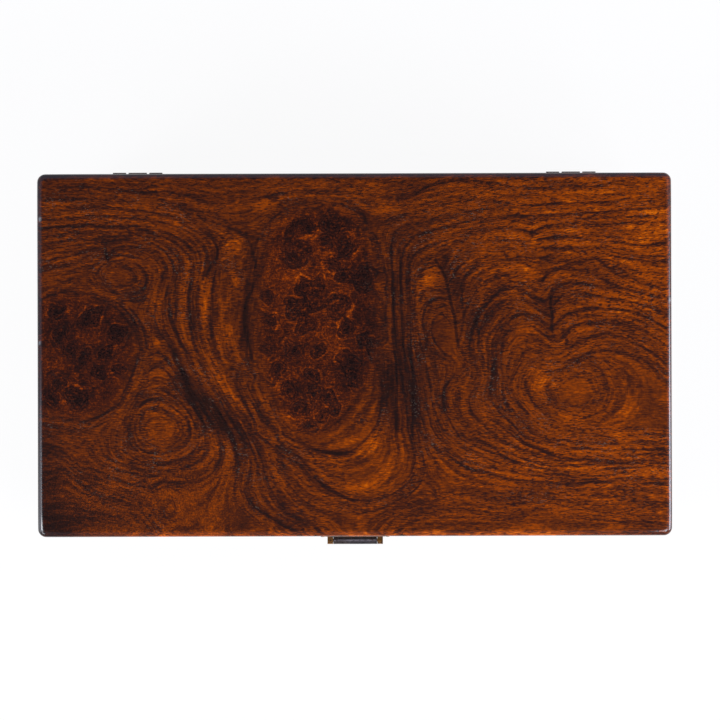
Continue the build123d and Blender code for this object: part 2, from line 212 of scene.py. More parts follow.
# Each line is a dark growth line of the burl board, drawn over the photo in its pixels.
# The number counts the growth lines; between two of them the wood keeps on growing evenly.
growthLines = [
    # top left, down between the left knots and the middle burl, and out below it
    (0, [(36, 172), (200, 173), (360, 173), (520, 172), (672, 172)]),
    (1, [(38, 189), (86, 188), (116, 190), (146, 194), (172, 193), (188, 197), (204, 203), (232, 204),
         (262, 197), (300, 192), (345, 193), (385, 199)]),
    (2, [(38, 201), (66, 200), (112, 201), (140, 202), (160, 205), (178, 209), (196, 216), (212, 223),
         (228, 228)]),
    (3, [(38, 211), (66, 209), (96, 207), (120, 208), (144, 211), (164, 214), (180, 219), (194, 226),
         (206, 234), (215, 242), (219, 250), (217, 264), (213, 280), (211, 296), (211, 314),
         (213, 332), (219, 350), (227, 368), (237, 388), (246, 406), (254, 420)]),
    (4, [(38, 222), (68, 219), (96, 217), (120, 219), (148, 220), (168, 224), (184, 229), (194, 236),
         (203, 245), (207, 258), (203, 274), (199, 292), (198, 312), (201, 332), (208, 352),
         (218, 374), (230, 396), (243, 416)]),
    (5, [(38, 229), (66, 226), (86, 225), (106, 228), (128, 227), (156, 229), (174, 236), (186, 243),
         (196, 252), (199, 264), (195, 280), (190, 296), (190, 314), (194, 332), (200, 350),
         (210, 370), (224, 394), (238, 416), (248, 432), (258, 448), (265, 466), (268, 482),
         (273, 496), (282, 508), (296, 518), (314, 527)]),
    (6, [(38, 238), (68, 234), (90, 232), (116, 232), (140, 231), (160, 235), (176, 243), (187, 254),
         (190, 268), (186, 284), (184, 300), (184, 318), (188, 336), (195, 352)]),
    (7, [(38, 248), (66, 242), (88, 239), (112, 237), (136, 236), (156, 241), (171, 250), (181, 262),
         (182, 278), (179, 296), (179, 314), (183, 332), (190, 348), (201, 368), (217, 394),
         (232, 418), (244, 438), (250, 455), (249, 472), (245, 489), (250, 502), (264, 514),
         (282, 524), (300, 532)]),
    (8, [(38, 253), (66, 247), (90, 243), (112, 241), (130, 239), (148, 242), (163, 249), (173, 261),
         (175, 274), (172, 290), (170, 306), (171, 320), (176, 334), (184, 350), (193, 368),
         (206, 392), (222, 418), (234, 440), (240, 460), (236, 482), (236, 500), (248, 516),
         (266, 528)]),
    (9, [(38, 262), (56, 260), (80, 253), (98, 248), (106, 252), (108, 258), (112, 250), (126, 246),
         (144, 249), (159, 256), (166, 266), (164, 278), (159, 290), (156, 304), (155, 318),
         (158, 330)]),
    (10, [(38, 272), (60, 268), (82, 263), (100, 260), (120, 256), (142, 259), (154, 268), (156, 280),
          (150, 292), (140, 300), (124, 300), (104, 294), (84, 288), (64, 286), (46, 290), (38, 296)]),
    # the small oval knot at the upper left
    (11, [(100, 270), (110, 263), (126, 261), (140, 266), (148, 277), (145, 289), (132, 294),
          (116, 293), (103, 285), (100, 270)]),
    (12, [(101, 273), (108, 267), (121, 265), (133, 269), (138, 277), (134, 285), (120, 288),
          (107, 284), (101, 273)]),
    (10.5, [(38, 281), (56, 278), (74, 276), (90, 276)]),
    # round the left burl
    (11, [(38, 304), (50, 297), (64, 293), (80, 293), (96, 296), (110, 302), (121, 311), (129, 322),
          (136, 336), (140, 350), (137, 366), (130, 382), (123, 397), (113, 408), (100, 417),
          (84, 422), (66, 420), (50, 415), (38, 411)]),
    (10, [(112, 297), (127, 306), (138, 318), (145, 332), (148, 346), (146, 360), (143, 374),
          (134, 392), (126, 408), (112, 419), (96, 427), (78, 430), (56, 427), (38, 422)]),
    # small arches above the lower knot, and the knot
    (9.3, [(150, 350), (153, 344), (160, 342), (166, 346), (170, 354), (178, 370), (188, 390),
           (204, 416), (214, 438), (218, 456), (208, 468), (190, 474), (170, 477), (152, 482),
           (134, 480), (116, 474), (98, 464), (84, 448)]),
    (10.2, [(147, 366), (151, 357), (159, 354), (167, 359), (174, 372), (184, 392), (198, 416),
            (206, 436), (206, 452), (192, 463), (170, 468), (144, 467), (120, 462), (104, 452)]),
    (11.1, [(145, 380), (149, 370), (158, 366), (167, 371), (176, 384), (188, 404), (198, 424),
            (199, 442), (188, 455), (166, 461), (142, 460), (126, 452), (124, 436), (128, 418),
            (136, 400), (145, 386)]),
    (12, [(131, 442), (129, 424), (132, 408), (140, 397), (150, 390), (162, 389), (176, 397),
          (188, 412), (196, 430), (193, 445), (182, 454), (164, 458), (144, 455), (131, 442)]),
    (13, [(135, 443), (133, 426), (136, 410), (147, 399), (160, 398), (176, 407), (188, 420),
          (191, 435), (184, 447), (164, 454), (147, 452), (135, 443)]),
    (14, [(143, 436), (141, 420), (150, 409), (164, 410), (177, 419), (183, 432), (176, 443),
          (160, 447), (148, 444), (143, 436)]),
    (8.6, [(166, 524), (160, 510), (157, 494), (163, 484), (174, 490), (182, 495), (186, 508),
           (180, 520)]),
    # round the middle burl
    (2, [(276, 430), (262, 416), (254, 400), (246, 384), (240, 366), (240, 346), (243, 326),
         (243, 308), (246, 290), (247, 272), (252, 254), (258, 238), (264, 224), (276, 213),
         (290, 206), (304, 202), (322, 200), (342, 202), (358, 209), (370, 222), (378, 240),
         (384, 258), (388, 276), (387, 296), (386, 316), (388, 336), (388, 360), (388, 384),
         (387, 408), (384, 422)]),
    (1.5, [(282, 436), (296, 443), (310, 448), (326, 452), (340, 454), (354, 448), (366, 438),
           (376, 426), (382, 410), (381, 390), (380, 370), (381, 350), (379, 330), (376, 312),
           (379, 294), (381, 278), (376, 258), (371, 240), (364, 224), (352, 212), (338, 206),
           (316, 205), (298, 208), (284, 213), (272, 222), (267, 236), (265, 252), (262, 270),
           (262, 286), (258, 304), (256, 324), (256, 344), (257, 364), (262, 384), (268, 402),
           (276, 420), (282, 436)]),
    (1, [(280, 416), (290, 426), (304, 431), (318, 431), (330, 427), (340, 418), (348, 408),
         (356, 396), (364, 384), (367, 366), (366, 346), (364, 326), (366, 308), (370, 290),
         (366, 268), (360, 246), (350, 226), (332, 214), (310, 212), (290, 218), (278, 230),
         (272, 248), (272, 270), (270, 292), (266, 312), (266, 336), (268, 360), (272, 384),
         (276, 402), (280, 416)]),
    (2.4, [(262, 434), (278, 448), (294, 458), (310, 466), (326, 474), (342, 480), (360, 482),
           (376, 478), (388, 468), (393, 452), (391, 434), (390, 414), (392, 392), (393, 370),
           (391, 350), (390, 330)]),
    (3, [(254, 430), (266, 440), (282, 453), (298, 462), (310, 473), (324, 485), (338, 494),
         (354, 500), (370, 501), (386, 495), (402, 486), (413, 473), (417, 460), (414, 446),
         (410, 430), (408, 410), (404, 388), (400, 366), (397, 344), (395, 322), (394, 300),
         (393, 280), (392, 262), (391, 246), (395, 232), (408, 227), (428, 222), (446, 216),
         (466, 211), (490, 210), (508, 214), (524, 216), (546, 216), (572, 215), (596, 214),
         (626, 211), (646, 208), (672, 207)]),
    (4, [(272, 462), (284, 478), (296, 494), (312, 506), (334, 512), (360, 514), (384, 509),
         (404, 500), (419, 486), (425, 468), (421, 448), (416, 428), (414, 408), (411, 386),
         (407, 364), (404, 344), (402, 322), (401, 300), (401, 280), (401, 264), (403, 248),
         (412, 238), (430, 232), (446, 226), (466, 221), (490, 219), (512, 221), (526, 223),
         (531, 228), (536, 223), (546, 220), (576, 219), (610, 219), (640, 217), (672, 216)]),
    # top right, round the two lobes, and out along the lower right
    (1, [(385, 199), (404, 197), (424, 191), (446, 184), (470, 181), (502, 186), (536, 190),
         (560, 186), (586, 187), (616, 184), (640, 186), (672, 187)]),
    (2, [(384, 222), (394, 216), (410, 214), (428, 210), (446, 205), (470, 202), (500, 204),
         (536, 206), (576, 203), (600, 203), (620, 200), (640, 197), (672, 194)]),
    (5, [(672, 223), (628, 224), (596, 226), (576, 223), (558, 224), (544, 226), (535, 231),
         (531, 237), (527, 232), (520, 229), (506, 228), (490, 229), (472, 232), (456, 236),
         (444, 240), (430, 245), (420, 250), (411, 258), (407, 272), (407, 292), (407, 314),
         (408, 336), (410, 356), (414, 376), (418, 396), (421, 416), (426, 432), (433, 444),
         (446, 453), (456, 460), (470, 468), (486, 471), (500, 476), (524, 480), (556, 483),
         (576, 484), (596, 482), (636, 482), (672, 483)]),
    (6, [(672, 243), (644, 247), (616, 243), (586, 241), (560, 238), (544, 239), (528, 242),
         (510, 241), (492, 241), (476, 244), (464, 247), (456, 252), (449, 262), (444, 272),
         (440, 272), (434, 266), (426, 269), (417, 274), (413, 286), (412, 304), (413, 326),
         (416, 348), (420, 368), (424, 388), (427, 408), (431, 428), (440, 440), (454, 450),
         (470, 460), (490, 465), (510, 470), (540, 476), (576, 479), (620, 477), (672, 478)]),
    (7, [(672, 262), (640, 260), (612, 256), (588, 252), (566, 249), (546, 248), (528, 250),
         (508, 250), (490, 252), (476, 256), (464, 262), (456, 270), (450, 284), (446, 292),
         (443, 288), (434, 288), (425, 291), (419, 300), (417, 318), (420, 340), (425, 360),
         (429, 376), (431, 396), (435, 416), (444, 432), (458, 445), (476, 453), (498, 461),
         (524, 468), (556, 475), (600, 476), (640, 471), (672, 472)]),
    (8, [(672, 292), (656, 288), (640, 285), (622, 275), (606, 266), (588, 262), (570, 261),
         (552, 262), (536, 259), (520, 257), (506, 260), (488, 262), (475, 267), (466, 274),
         (461, 286), (459, 300), (456, 318), (453, 310), (449, 302), (440, 299), (431, 301),
         (424, 309), (422, 326), (428, 344), (435, 358), (438, 374), (438, 394), (443, 410),
         (452, 422), (458, 434), (464, 441), (478, 446), (500, 455), (516, 461), (540, 467),
         (568, 471), (600, 469), (640, 466), (672, 467)]),
    (9, [(672, 300), (652, 297), (636, 294), (618, 288), (600, 279), (584, 272), (568, 268),
         (556, 268), (547, 274), (542, 284), (534, 279), (516, 273), (498, 275), (484, 282),
         (474, 292), (467, 306), (463, 322), (461, 338), (457, 342), (453, 330), (449, 320),
         (442, 313), (434, 318), (430, 330), (434, 344), (445, 354), (458, 356), (466, 364),
         (458, 375), (447, 385), (442, 397), (447, 411), (456, 423), (466, 434), (484, 442),
         (504, 450), (528, 460), (556, 465), (596, 465), (640, 463), (672, 463)]),
    (10, [(672, 306), (654, 302), (636, 297), (616, 290), (596, 285), (578, 282), (562, 285),
          (553, 293), (550, 308), (545, 306), (540, 301), (532, 297), (524, 291), (516, 287),
          (506, 287), (496, 293), (487, 302), (478, 314), (472, 330), (470, 346), (474, 360),
          (480, 374), (474, 389), (469, 400), (472, 412), (480, 422), (492, 430), (502, 440),
          (514, 446), (536, 452), (552, 458), (572, 461), (606, 461), (640, 459), (672, 459)]),
    (11, [(672, 318), (656, 310), (640, 304), (618, 299), (596, 296), (576, 293), (563, 299),
          (555, 308), (551, 318), (545, 314), (536, 307), (524, 301), (510, 299), (498, 304),
          (488, 315), (481, 330), (480, 346), (485, 362), (486, 378), (481, 392), (482, 406),
          (490, 418), (502, 426), (512, 434), (522, 442), (536, 449), (552, 454), (586, 457),
          (616, 456), (640, 453), (672, 454)]),
    (12, [(672, 334), (656, 324), (640, 315), (620, 309), (598, 307), (578, 309), (564, 314),
          (557, 322), (551, 328), (544, 322), (535, 317), (522, 314), (510, 318), (500, 327),
          (493, 340), (492, 356), (493, 372), (490, 390), (493, 404), (503, 414), (512, 424),
          (524, 436), (540, 443), (556, 446), (592, 449), (616, 450), (640, 447), (672, 448)]),
    (13, [(672, 350), (658, 340), (642, 331), (624, 325), (604, 322), (586, 323), (573, 326),
          (566, 333), (560, 342), (552, 342), (543, 334), (533, 326), (520, 323), (508, 331),
          (501, 344), (500, 360), (502, 378), (502, 394), (508, 408), (519, 422), (529, 432),
          (542, 438), (560, 440), (584, 442), (606, 444), (640, 440), (672, 442)]),
    (14, [(672, 372), (656, 356), (640, 345), (622, 337), (602, 334), (584, 338), (572, 346),
          (562, 354), (548, 356), (534, 350), (524, 350), (520, 362), (513, 374), (508, 386),
          (512, 398), (524, 410), (536, 422), (550, 432), (570, 436), (594, 436), (620, 436),
          (646, 434), (672, 435)]),
    (15, [(672, 396), (652, 372), (634, 358), (614, 350), (596, 351), (580, 360), (560, 366),
          (542, 364), (530, 370), (524, 384), (532, 402), (546, 416), (560, 424), (584, 428),
          (610, 430), (640, 429), (672, 429)]),
    (16, [(588, 356), (598, 367), (606, 380), (608, 394), (602, 408), (588, 414), (566, 413),
          (552, 404), (546, 392), (552, 380), (564, 370), (578, 362), (588, 356)]),
    (17, [(560, 384), (572, 378), (588, 380), (594, 392), (588, 403), (574, 407), (560, 402),
          (555, 392), (560, 384)]),
    # along the front edge
    (4.3, [(440, 492), (470, 489), (505, 493), (540, 493), (580, 496), (620, 494), (672, 495)]),
    (3.6, [(430, 505), (470, 500), (500, 505), (540, 502), (580, 508), (620, 507), (672, 510)]),
    (3, [(400, 522), (450, 516), (500, 519), (550, 513), (590, 520), (640, 520), (672, 522)]),
    (2.4, [(400, 540), (500, 537), (600, 537), (672, 538)]),
    (6, [(36, 541), (60, 536), (100, 528), (140, 530)]),
    (7.6, [(60, 470), (80, 490), (110, 505), (140, 512)]),
    (9, [(38, 440), (60, 448), (84, 470)]),
]

# Eyes of the two burls: middle and radius in photo pixels
burlEyes = [
    # left burl
    (58, 312, 8), (90, 318, 9), (100, 312, 6), (63, 335, 8), (118, 335, 9), (70, 350, 6), (83, 358, 8),
    (108, 352, 7), (118, 368, 6), (100, 372, 7), (60, 382, 8), (77, 400, 12), (53, 396, 6),
    # middle burl, from the top down
    (307, 226, 9), (296, 224, 5), (333, 225, 12), (347, 226, 6), (290, 232, 7), (326, 243, 9),
    (346, 248, 11), (295, 254, 13), (306, 252, 6), (333, 263, 8), (362, 230, 7), (364, 278, 13),
    (305, 287, 9), (318, 283, 7), (344, 276, 8), (268, 296, 7), (338, 306, 12), (294, 308, 9),
    (314, 302, 10), (268, 321, 8), (306, 324, 9), (346, 328, 9), (295, 350, 9), (266, 346, 6),
    (318, 350, 7), (374, 348, 8), (364, 338, 6), (238, 369, 8), (250, 376, 5), (276, 369, 8),
    (290, 389, 9), (270, 380, 6), (314, 376, 7), (349, 362, 10), (354, 378, 9), (314, 393, 7),
    (307, 408, 8), (296, 408, 9), (330, 398, 8), (324, 416, 6), (335, 410, 6), (312, 426, 5),
    (307, 428, 6), (361, 418, 5),
]

# Knots: middle and half-widths, and how many growth lines high
ovalKnots = [
    (120, 277, 17, 10, 0.5),
    (161, 428, 21, 17, 0.45),
    (172, 508, 9, 14, 0.4),
    # small curls in the valley beside the middle burl
    (236, 246, 12, 14, 0.9),
    (228, 262, 9, 8, 0.7),
    (238, 280, 8, 12, 0.6),
]

# Outlines of the middle burl and the left one
burlOutlines = [
    [(262, 300), (264, 262), (272, 230), (292, 214), (326, 208), (352, 218), (366, 240), (374, 276),
     (376, 310), (378, 346), (368, 380), (352, 402), (340, 418), (318, 432), (300, 430), (282, 412),
     (270, 384), (262, 350)],
    [(36, 302), (60, 295), (92, 298), (116, 308), (131, 326), (135, 350), (127, 376), (118, 398),
     (98, 413), (72, 418), (48, 410), (36, 405)],
]

# Cracks and creases where two lobes of growth meet
creases = [
    [(435, 260), (442, 270), (446, 280), (449, 294), (452, 308), (455, 320), (456, 334), (459, 348)],
    [(551, 296), (550, 306), (552, 316), (551, 326), (552, 332)],
    [(531, 230), (532, 236)],
    [(106, 248), (107, 255), (109, 261)],
]

# Growth lines that stand out darker than their neighbours: how dark, and their points in photo pixels
darkLines = [
    # upper left
    (0.7, [(46, 211), (76, 209), (102, 209), (132, 211), (148, 210), (164, 215), (176, 216),
           (190, 221), (212, 236)]),
    (0.8, [(44, 228), (70, 227), (102, 228), (136, 228), (164, 232), (176, 237), (184, 241),
           (194, 250), (202, 254)]),
    (0.8, [(44, 243), (80, 240), (116, 240), (130, 238), (144, 240), (156, 245), (166, 252),
           (175, 268), (174, 276), (169, 288), (164, 300), (162, 312)]),
    (0.7, [(44, 266), (56, 264), (66, 261), (76, 256), (88, 253), (100, 249)]),
    (0.6, [(116, 190), (148, 194), (166, 192), (176, 194), (196, 202)]),
    # the upright bands beside the middle burl
    (0.8, [(180, 266), (176, 280), (174, 296), (176, 312), (176, 328), (180, 340), (188, 354)]),
    (1.0, [(194, 264), (191, 280), (189, 296), (190, 312), (191, 324), (193, 340), (198, 354)]),
    (0.8, [(212, 296), (210, 312), (211, 326), (213, 338), (216, 348)]),
    (0.9, [(230, 232), (222, 240), (219, 248), (216, 260), (208, 272), (206, 276)]),
    (0.9, [(246, 234), (252, 248), (256, 262), (256, 280), (250, 296), (245, 308), (244, 324),
           (248, 340), (252, 358)]),
    # the two oval knots and what lies round them
    (0.6, [(104, 268), (112, 264), (126, 265), (136, 270), (139, 277), (135, 285), (126, 289),
           (112, 288), (104, 284), (101, 276), (104, 268)]),
    (0.6, [(100, 280), (102, 288), (112, 293), (124, 296), (136, 294), (145, 288), (147, 278),
           (144, 268), (126, 259)]),
    (0.65, [(54, 287), (96, 289), (120, 294), (130, 296), (136, 308), (144, 320), (152, 326),
            (158, 324), (161, 316)]),
    (0.7, [(150, 362), (156, 359), (166, 360), (174, 366)]),
    (0.7, [(145, 374), (152, 370), (164, 371), (174, 376)]),
    (0.7, [(146, 383), (156, 380), (166, 383), (176, 390)]),
    (0.75, [(142, 404), (148, 400), (160, 399), (172, 406), (182, 414), (189, 424), (191, 436),
            (187, 446), (176, 452), (160, 454), (144, 452), (137, 446), (134, 436), (136, 422),
            (139, 410), (142, 404)]),
    (0.65, [(131, 430), (131, 416), (132, 404), (134, 394), (148, 393), (160, 393), (176, 400),
            (186, 408)]),
    (0.6, [(102, 458), (116, 462), (132, 463), (148, 465), (164, 464), (176, 460), (188, 454)]),
    (0.8, [(154, 409), (164, 412), (172, 418)]),
    (0.6, [(44, 416), (60, 419), (74, 425), (84, 436), (92, 456), (100, 466), (112, 474), (124, 478)]),
    (0.6, [(130, 478), (140, 482), (152, 476), (160, 475)]),
    (0.6, [(156, 490), (164, 506), (166, 522)]),
    (0.6, [(176, 492), (184, 500), (185, 510)]),
    (0.8, [(176, 376), (182, 390), (192, 404), (202, 418), (206, 428)]),
    (0.8, [(184, 370), (196, 390), (206, 402), (212, 414), (218, 430), (222, 444), (216, 462)]),
    # left burl
    (0.8, [(48, 296), (62, 293), (92, 294), (106, 298), (116, 303), (124, 308), (132, 316), (138, 328),
           (142, 350)]),
    (0.7, [(48, 412), (60, 417), (86, 421), (100, 419), (108, 412), (116, 404), (123, 394),
           (124, 374)]),
    # middle burl and the arches under it
    (0.8, [(268, 236), (271, 222), (282, 210), (294, 205), (326, 202), (342, 205), (354, 208),
           (364, 216), (373, 244)]),
    (0.6, [(267, 212), (272, 201), (280, 197)]),
    (0.95, [(260, 416), (268, 424), (278, 430), (290, 438), (302, 443), (314, 448), (326, 451),
            (338, 454), (346, 453), (356, 449), (364, 441), (370, 434), (378, 424), (381, 414),
            (382, 398)]),
    (0.75, [(304, 430), (314, 431), (326, 429), (336, 423), (344, 416), (350, 408)]),
    (1.0, [(248, 396), (256, 408), (264, 420), (272, 429)]),
    (0.8, [(252, 432), (264, 440), (274, 448), (282, 458), (284, 468)]),
    (0.75, [(276, 446), (292, 452), (302, 459), (308, 468), (316, 478), (326, 488), (338, 494),
            (348, 499), (374, 503), (386, 496), (400, 490), (410, 480), (417, 468), (419, 458),
            (415, 448), (411, 438), (412, 424)]),
    (0.75, [(255, 446), (263, 458), (267, 470), (269, 482), (274, 494), (280, 506), (288, 518),
            (300, 526)]),
    (0.75, [(248, 452), (251, 464), (249, 478), (245, 490), (248, 500), (258, 510), (270, 516),
            (284, 526), (292, 530)]),
    (0.7, [(234, 448), (237, 458), (235, 468), (226, 470)]),
    (0.6, [(340, 478), (344, 472), (354, 470), (374, 467)]),
    # the upright lines right of it
    (0.9, [(391, 246), (393, 290), (394, 340), (397, 390), (396, 430)]),
    (1.0, [(400, 250), (401, 300), (403, 340), (406, 370)]),
    (0.9, [(408, 250), (411, 300), (411, 350), (414, 400), (412, 440)]),
    # upper right
    (0.9, [(416, 194), (428, 186), (446, 182), (468, 179)]),
    (0.65, [(424, 223), (446, 216), (476, 210), (506, 208), (546, 205), (600, 202), (616, 202),
            (640, 196), (656, 195)]),
    (0.9, [(420, 233), (442, 228), (472, 226), (484, 222), (508, 217), (536, 215), (576, 214),
           (608, 212), (640, 209), (666, 209)]),
    (0.5, [(428, 246), (442, 242), (456, 237), (482, 232), (496, 228), (526, 230), (531, 234),
           (536, 230), (546, 225), (582, 225), (656, 225)]),
    (0.75, [(458, 251), (476, 244), (504, 240), (528, 241), (552, 237), (568, 237), (600, 242),
            (622, 245), (664, 246)]),
    (0.6, [(528, 248), (560, 249), (572, 251)]),
    (0.9, [(463, 316), (461, 292), (464, 282), (468, 274), (476, 268), (488, 264), (512, 259),
           (540, 259), (556, 254)]),
    (0.9, [(542, 282), (544, 274), (550, 269), (562, 267), (580, 262), (596, 258), (606, 266),
           (616, 274), (640, 285), (652, 288), (666, 289)]),
    (1.0, [(478, 334), (476, 320), (482, 312), (488, 304), (496, 295), (506, 289), (514, 288),
           (522, 291), (536, 300), (544, 301), (549, 298), (550, 292), (556, 286), (568, 283),
           (592, 285), (608, 288), (624, 289), (660, 299)]),
    (0.6, [(498, 308), (508, 302), (520, 301), (532, 304), (542, 308)]),
    (0.75, [(490, 334), (496, 326), (504, 318), (516, 315), (528, 314), (538, 317)]),
    (0.65, [(502, 338), (510, 330), (520, 325), (532, 324), (542, 328)]),
    (0.75, [(554, 304), (560, 298), (572, 295), (596, 297), (616, 299), (644, 304), (666, 316)]),
    (0.85, [(560, 316), (576, 312), (596, 309), (632, 311), (646, 317), (666, 328)]),
    (0.85, [(566, 348), (566, 336), (570, 328), (580, 324), (600, 323), (636, 326), (660, 338)]),
    (0.65, [(584, 342), (592, 335), (610, 333), (628, 336), (644, 342), (664, 354)]),
    (0.65, [(416, 297), (424, 292), (436, 289), (444, 288)]),
    (0.75, [(420, 312), (426, 302), (438, 298), (446, 300)]),
    (0.8, [(426, 348), (428, 334), (434, 324), (444, 318), (450, 316)]),
    # lower right
    (0.9, [(425, 434), (428, 441), (436, 448), (446, 453), (458, 462), (468, 468), (482, 470),
           (508, 478), (544, 482), (576, 484), (592, 482), (628, 481), (664, 483)]),
    (0.85, [(469, 360), (459, 372), (448, 382), (443, 391), (443, 402), (447, 416), (454, 424),
            (466, 440), (476, 441), (496, 450), (510, 461), (520, 464)]),
    (0.75, [(480, 386), (470, 393), (468, 404), (474, 416), (482, 421)]),
    (0.85, [(497, 354), (493, 366), (493, 378), (491, 390), (488, 398), (494, 405), (502, 408)]),
    (0.65, [(521, 360), (520, 368), (514, 376), (510, 384)]),
    (0.75, [(509, 400), (504, 412), (497, 422), (495, 432)]),
    (0.9, [(508, 422), (516, 434), (524, 444), (536, 448), (548, 454), (560, 458), (592, 460),
           (616, 463), (644, 462)]),
    (0.85, [(512, 408), (520, 418), (528, 426), (536, 436), (546, 442), (562, 444)]),
    (0.85, [(552, 390), (556, 400), (566, 406), (588, 408)]),
    (0.7, [(590, 358), (600, 370), (604, 380), (606, 392)]),
    (0.7, [(588, 424), (602, 434), (616, 440), (616, 448), (664, 450)]),
    (0.6, [(610, 424), (632, 432), (646, 432)]),
]

# Broad soft bands: how light, or how dark below zero, half-width, and points
broadBands = [
    # upper left
    (0.5, 3.0, [(60, 205), (100, 204), (140, 206), (170, 210), (190, 218)]),
    (0.4, 3.0, [(60, 215), (100, 213), (140, 215), (166, 219), (186, 228)]),
    (0.4, 3.0, [(56, 246), (84, 243), (100, 243)]),
    (0.5, 3.0, [(130, 304), (144, 318), (152, 334), (156, 342)]),
    # the upright bands beside the middle burl
    (0.7, 3.5, [(188, 264), (186, 276), (184, 290), (183, 306), (184, 322), (187, 334), (191, 346)]),
    (0.7, 4.5, [(204, 280), (203, 296), (203, 312), (202, 326), (204, 340), (209, 356)]),
    (0.5, 2.0, [(205, 262), (203, 270), (201, 278)]),
    (0.8, 3.2, [(228, 298), (224, 308), (220, 320), (218, 334), (219, 348), (224, 362)]),
    (0.7, 5.0, [(227, 328), (231, 338), (236, 350), (242, 366)]),
    (0.9, 3.5, [(233, 274), (235, 280), (238, 285)]),
    (1.0, 5.0, [(229, 246), (235, 243), (240, 250)]),
    (0.8, 3.0, [(243, 252), (245, 260), (241, 266)]),
    (0.8, 2.5, [(250, 264), (251, 270)]),
    (0.7, 2.5, [(222, 259), (228, 257), (232, 260)]),
    (-0.9, 3.0, [(193, 284), (192, 300), (193, 320), (196, 340)]),
    (-1.0, 3.5, [(216, 282), (216, 296), (214, 312), (212, 328), (213, 344), (218, 358)]),
    (-0.9, 6.0, [(250, 286), (247, 300), (246, 320), (248, 340)]),
    (-0.6, 6.0, [(222, 270), (222, 280), (220, 290)]),
    (-0.9, 3.0, [(218, 246), (216, 256), (210, 266), (206, 276)]),
    (-0.8, 2.0, [(233, 304), (231, 314), (229, 322)]),
    (-0.5, 4.0, [(232, 258), (236, 266)]),
    # the dark streak down to the front, and the light one over it
    (-1.0, 7.0, [(178, 352), (182, 372), (188, 392), (198, 410), (208, 424)]),
    (-1.0, 9.0, [(206, 400), (216, 408), (228, 418)]),
    (-0.8, 8.0, [(222, 425), (236, 440), (246, 456)]),
    (0.6, 5.0, [(208, 352), (214, 366), (222, 382), (232, 398), (240, 410)]),
    (0.7, 3.0, [(186, 332), (191, 344), (196, 360), (200, 372)]),
    # small caps above the lower knot
    (0.8, 4.0, [(157, 344), (164, 344)]),
    (0.6, 2.6, [(145, 349), (146, 356)]),
    (0.6, 2.4, [(156, 356), (164, 357)]),
    (0.7, 3.2, [(150, 374), (157, 371), (163, 373)]),
    (1.0, 3.2, [(169, 368), (174, 372)]),
    (0.5, 2.4, [(158, 386), (167, 385)]),
    # right of the middle burl, and the two lobes
    (-0.9, 3.0, [(443, 250), (444, 262), (446, 274)]),
    (-0.6, 4.0, [(458, 272), (459, 290), (461, 312)]),
    (-0.6, 6.0, [(472, 292), (476, 312), (480, 330)]),
    (-0.7, 6.0, [(500, 286), (490, 298), (484, 312)]),
    (-0.8, 5.0, [(500, 340), (496, 356), (493, 376), (489, 396)]),
    (-0.7, 4.0, [(480, 384), (473, 392), (469, 404), (472, 414)]),
    (-0.5, 3.0, [(464, 364), (456, 374), (448, 384), (443, 396), (446, 410)]),
    (-0.5, 4.0, [(522, 352), (518, 366), (513, 377)]),
    (-0.5, 5.0, [(500, 398), (498, 412), (497, 426), (502, 440)]),
    (-0.5, 4.0, [(520, 400), (519, 416), (524, 430)]),
    (-0.5, 4.0, [(548, 390), (552, 398), (556, 404)]),
    (0.6, 6.0, [(530, 372), (545, 380), (560, 384)]),
    (0.5, 7.0, [(564, 418), (580, 420)]),
    (0.4, 4.0, [(428, 272), (431, 282)]),
    (0.5, 5.0, [(478, 252), (490, 248)]),
    # under the middle burl
    (-0.9, 3.5, [(286, 430), (302, 444), (318, 451), (334, 453), (346, 450)]),
    (0.8, 3.0, [(302, 451), (318, 458), (334, 460), (350, 458), (364, 451)]),
    (0.6, 4.0, [(342, 441), (352, 440)]),
    (0.9, 5.0, [(378, 428), (376, 440), (370, 450)]),
    (0.7, 6.0, [(350, 487), (366, 489), (378, 487)]),
    (0.5, 8.0, [(384, 470), (400, 456), (404, 440)]),
    (-0.6, 4.0, [(262, 446), (266, 462), (268, 478), (272, 494), (282, 506)]),
    (-0.5, 4.0, [(280, 450), (284, 464), (288, 480)]),
    (-0.6, 5.0, [(300, 460), (308, 474), (318, 486)]),
    (-0.5, 5.0, [(412, 424), (414, 440), (412, 460)]),
    (-0.7, 6.0, [(252, 506), (268, 512), (286, 522), (300, 528)]),
]

# Places where the growth lines hardly show: middle, half-widths and how calm
calmPlaces = [
    (578, 392, 34, 24, 1.0),
    (161, 430, 24, 20, 0.9),
    (570, 422, 44, 12, 0.7),
    (120, 277, 15, 8, 0.6),
    (234, 300, 14, 60, 0.8),
    (500, 250, 46, 14, 0.5),
    (110, 510, 70, 16, 0.5),
    (560, 512, 100, 16, 0.6),
    (470, 400, 22, 50, 0.5),
    (520, 370, 22, 24, 0.5),
]

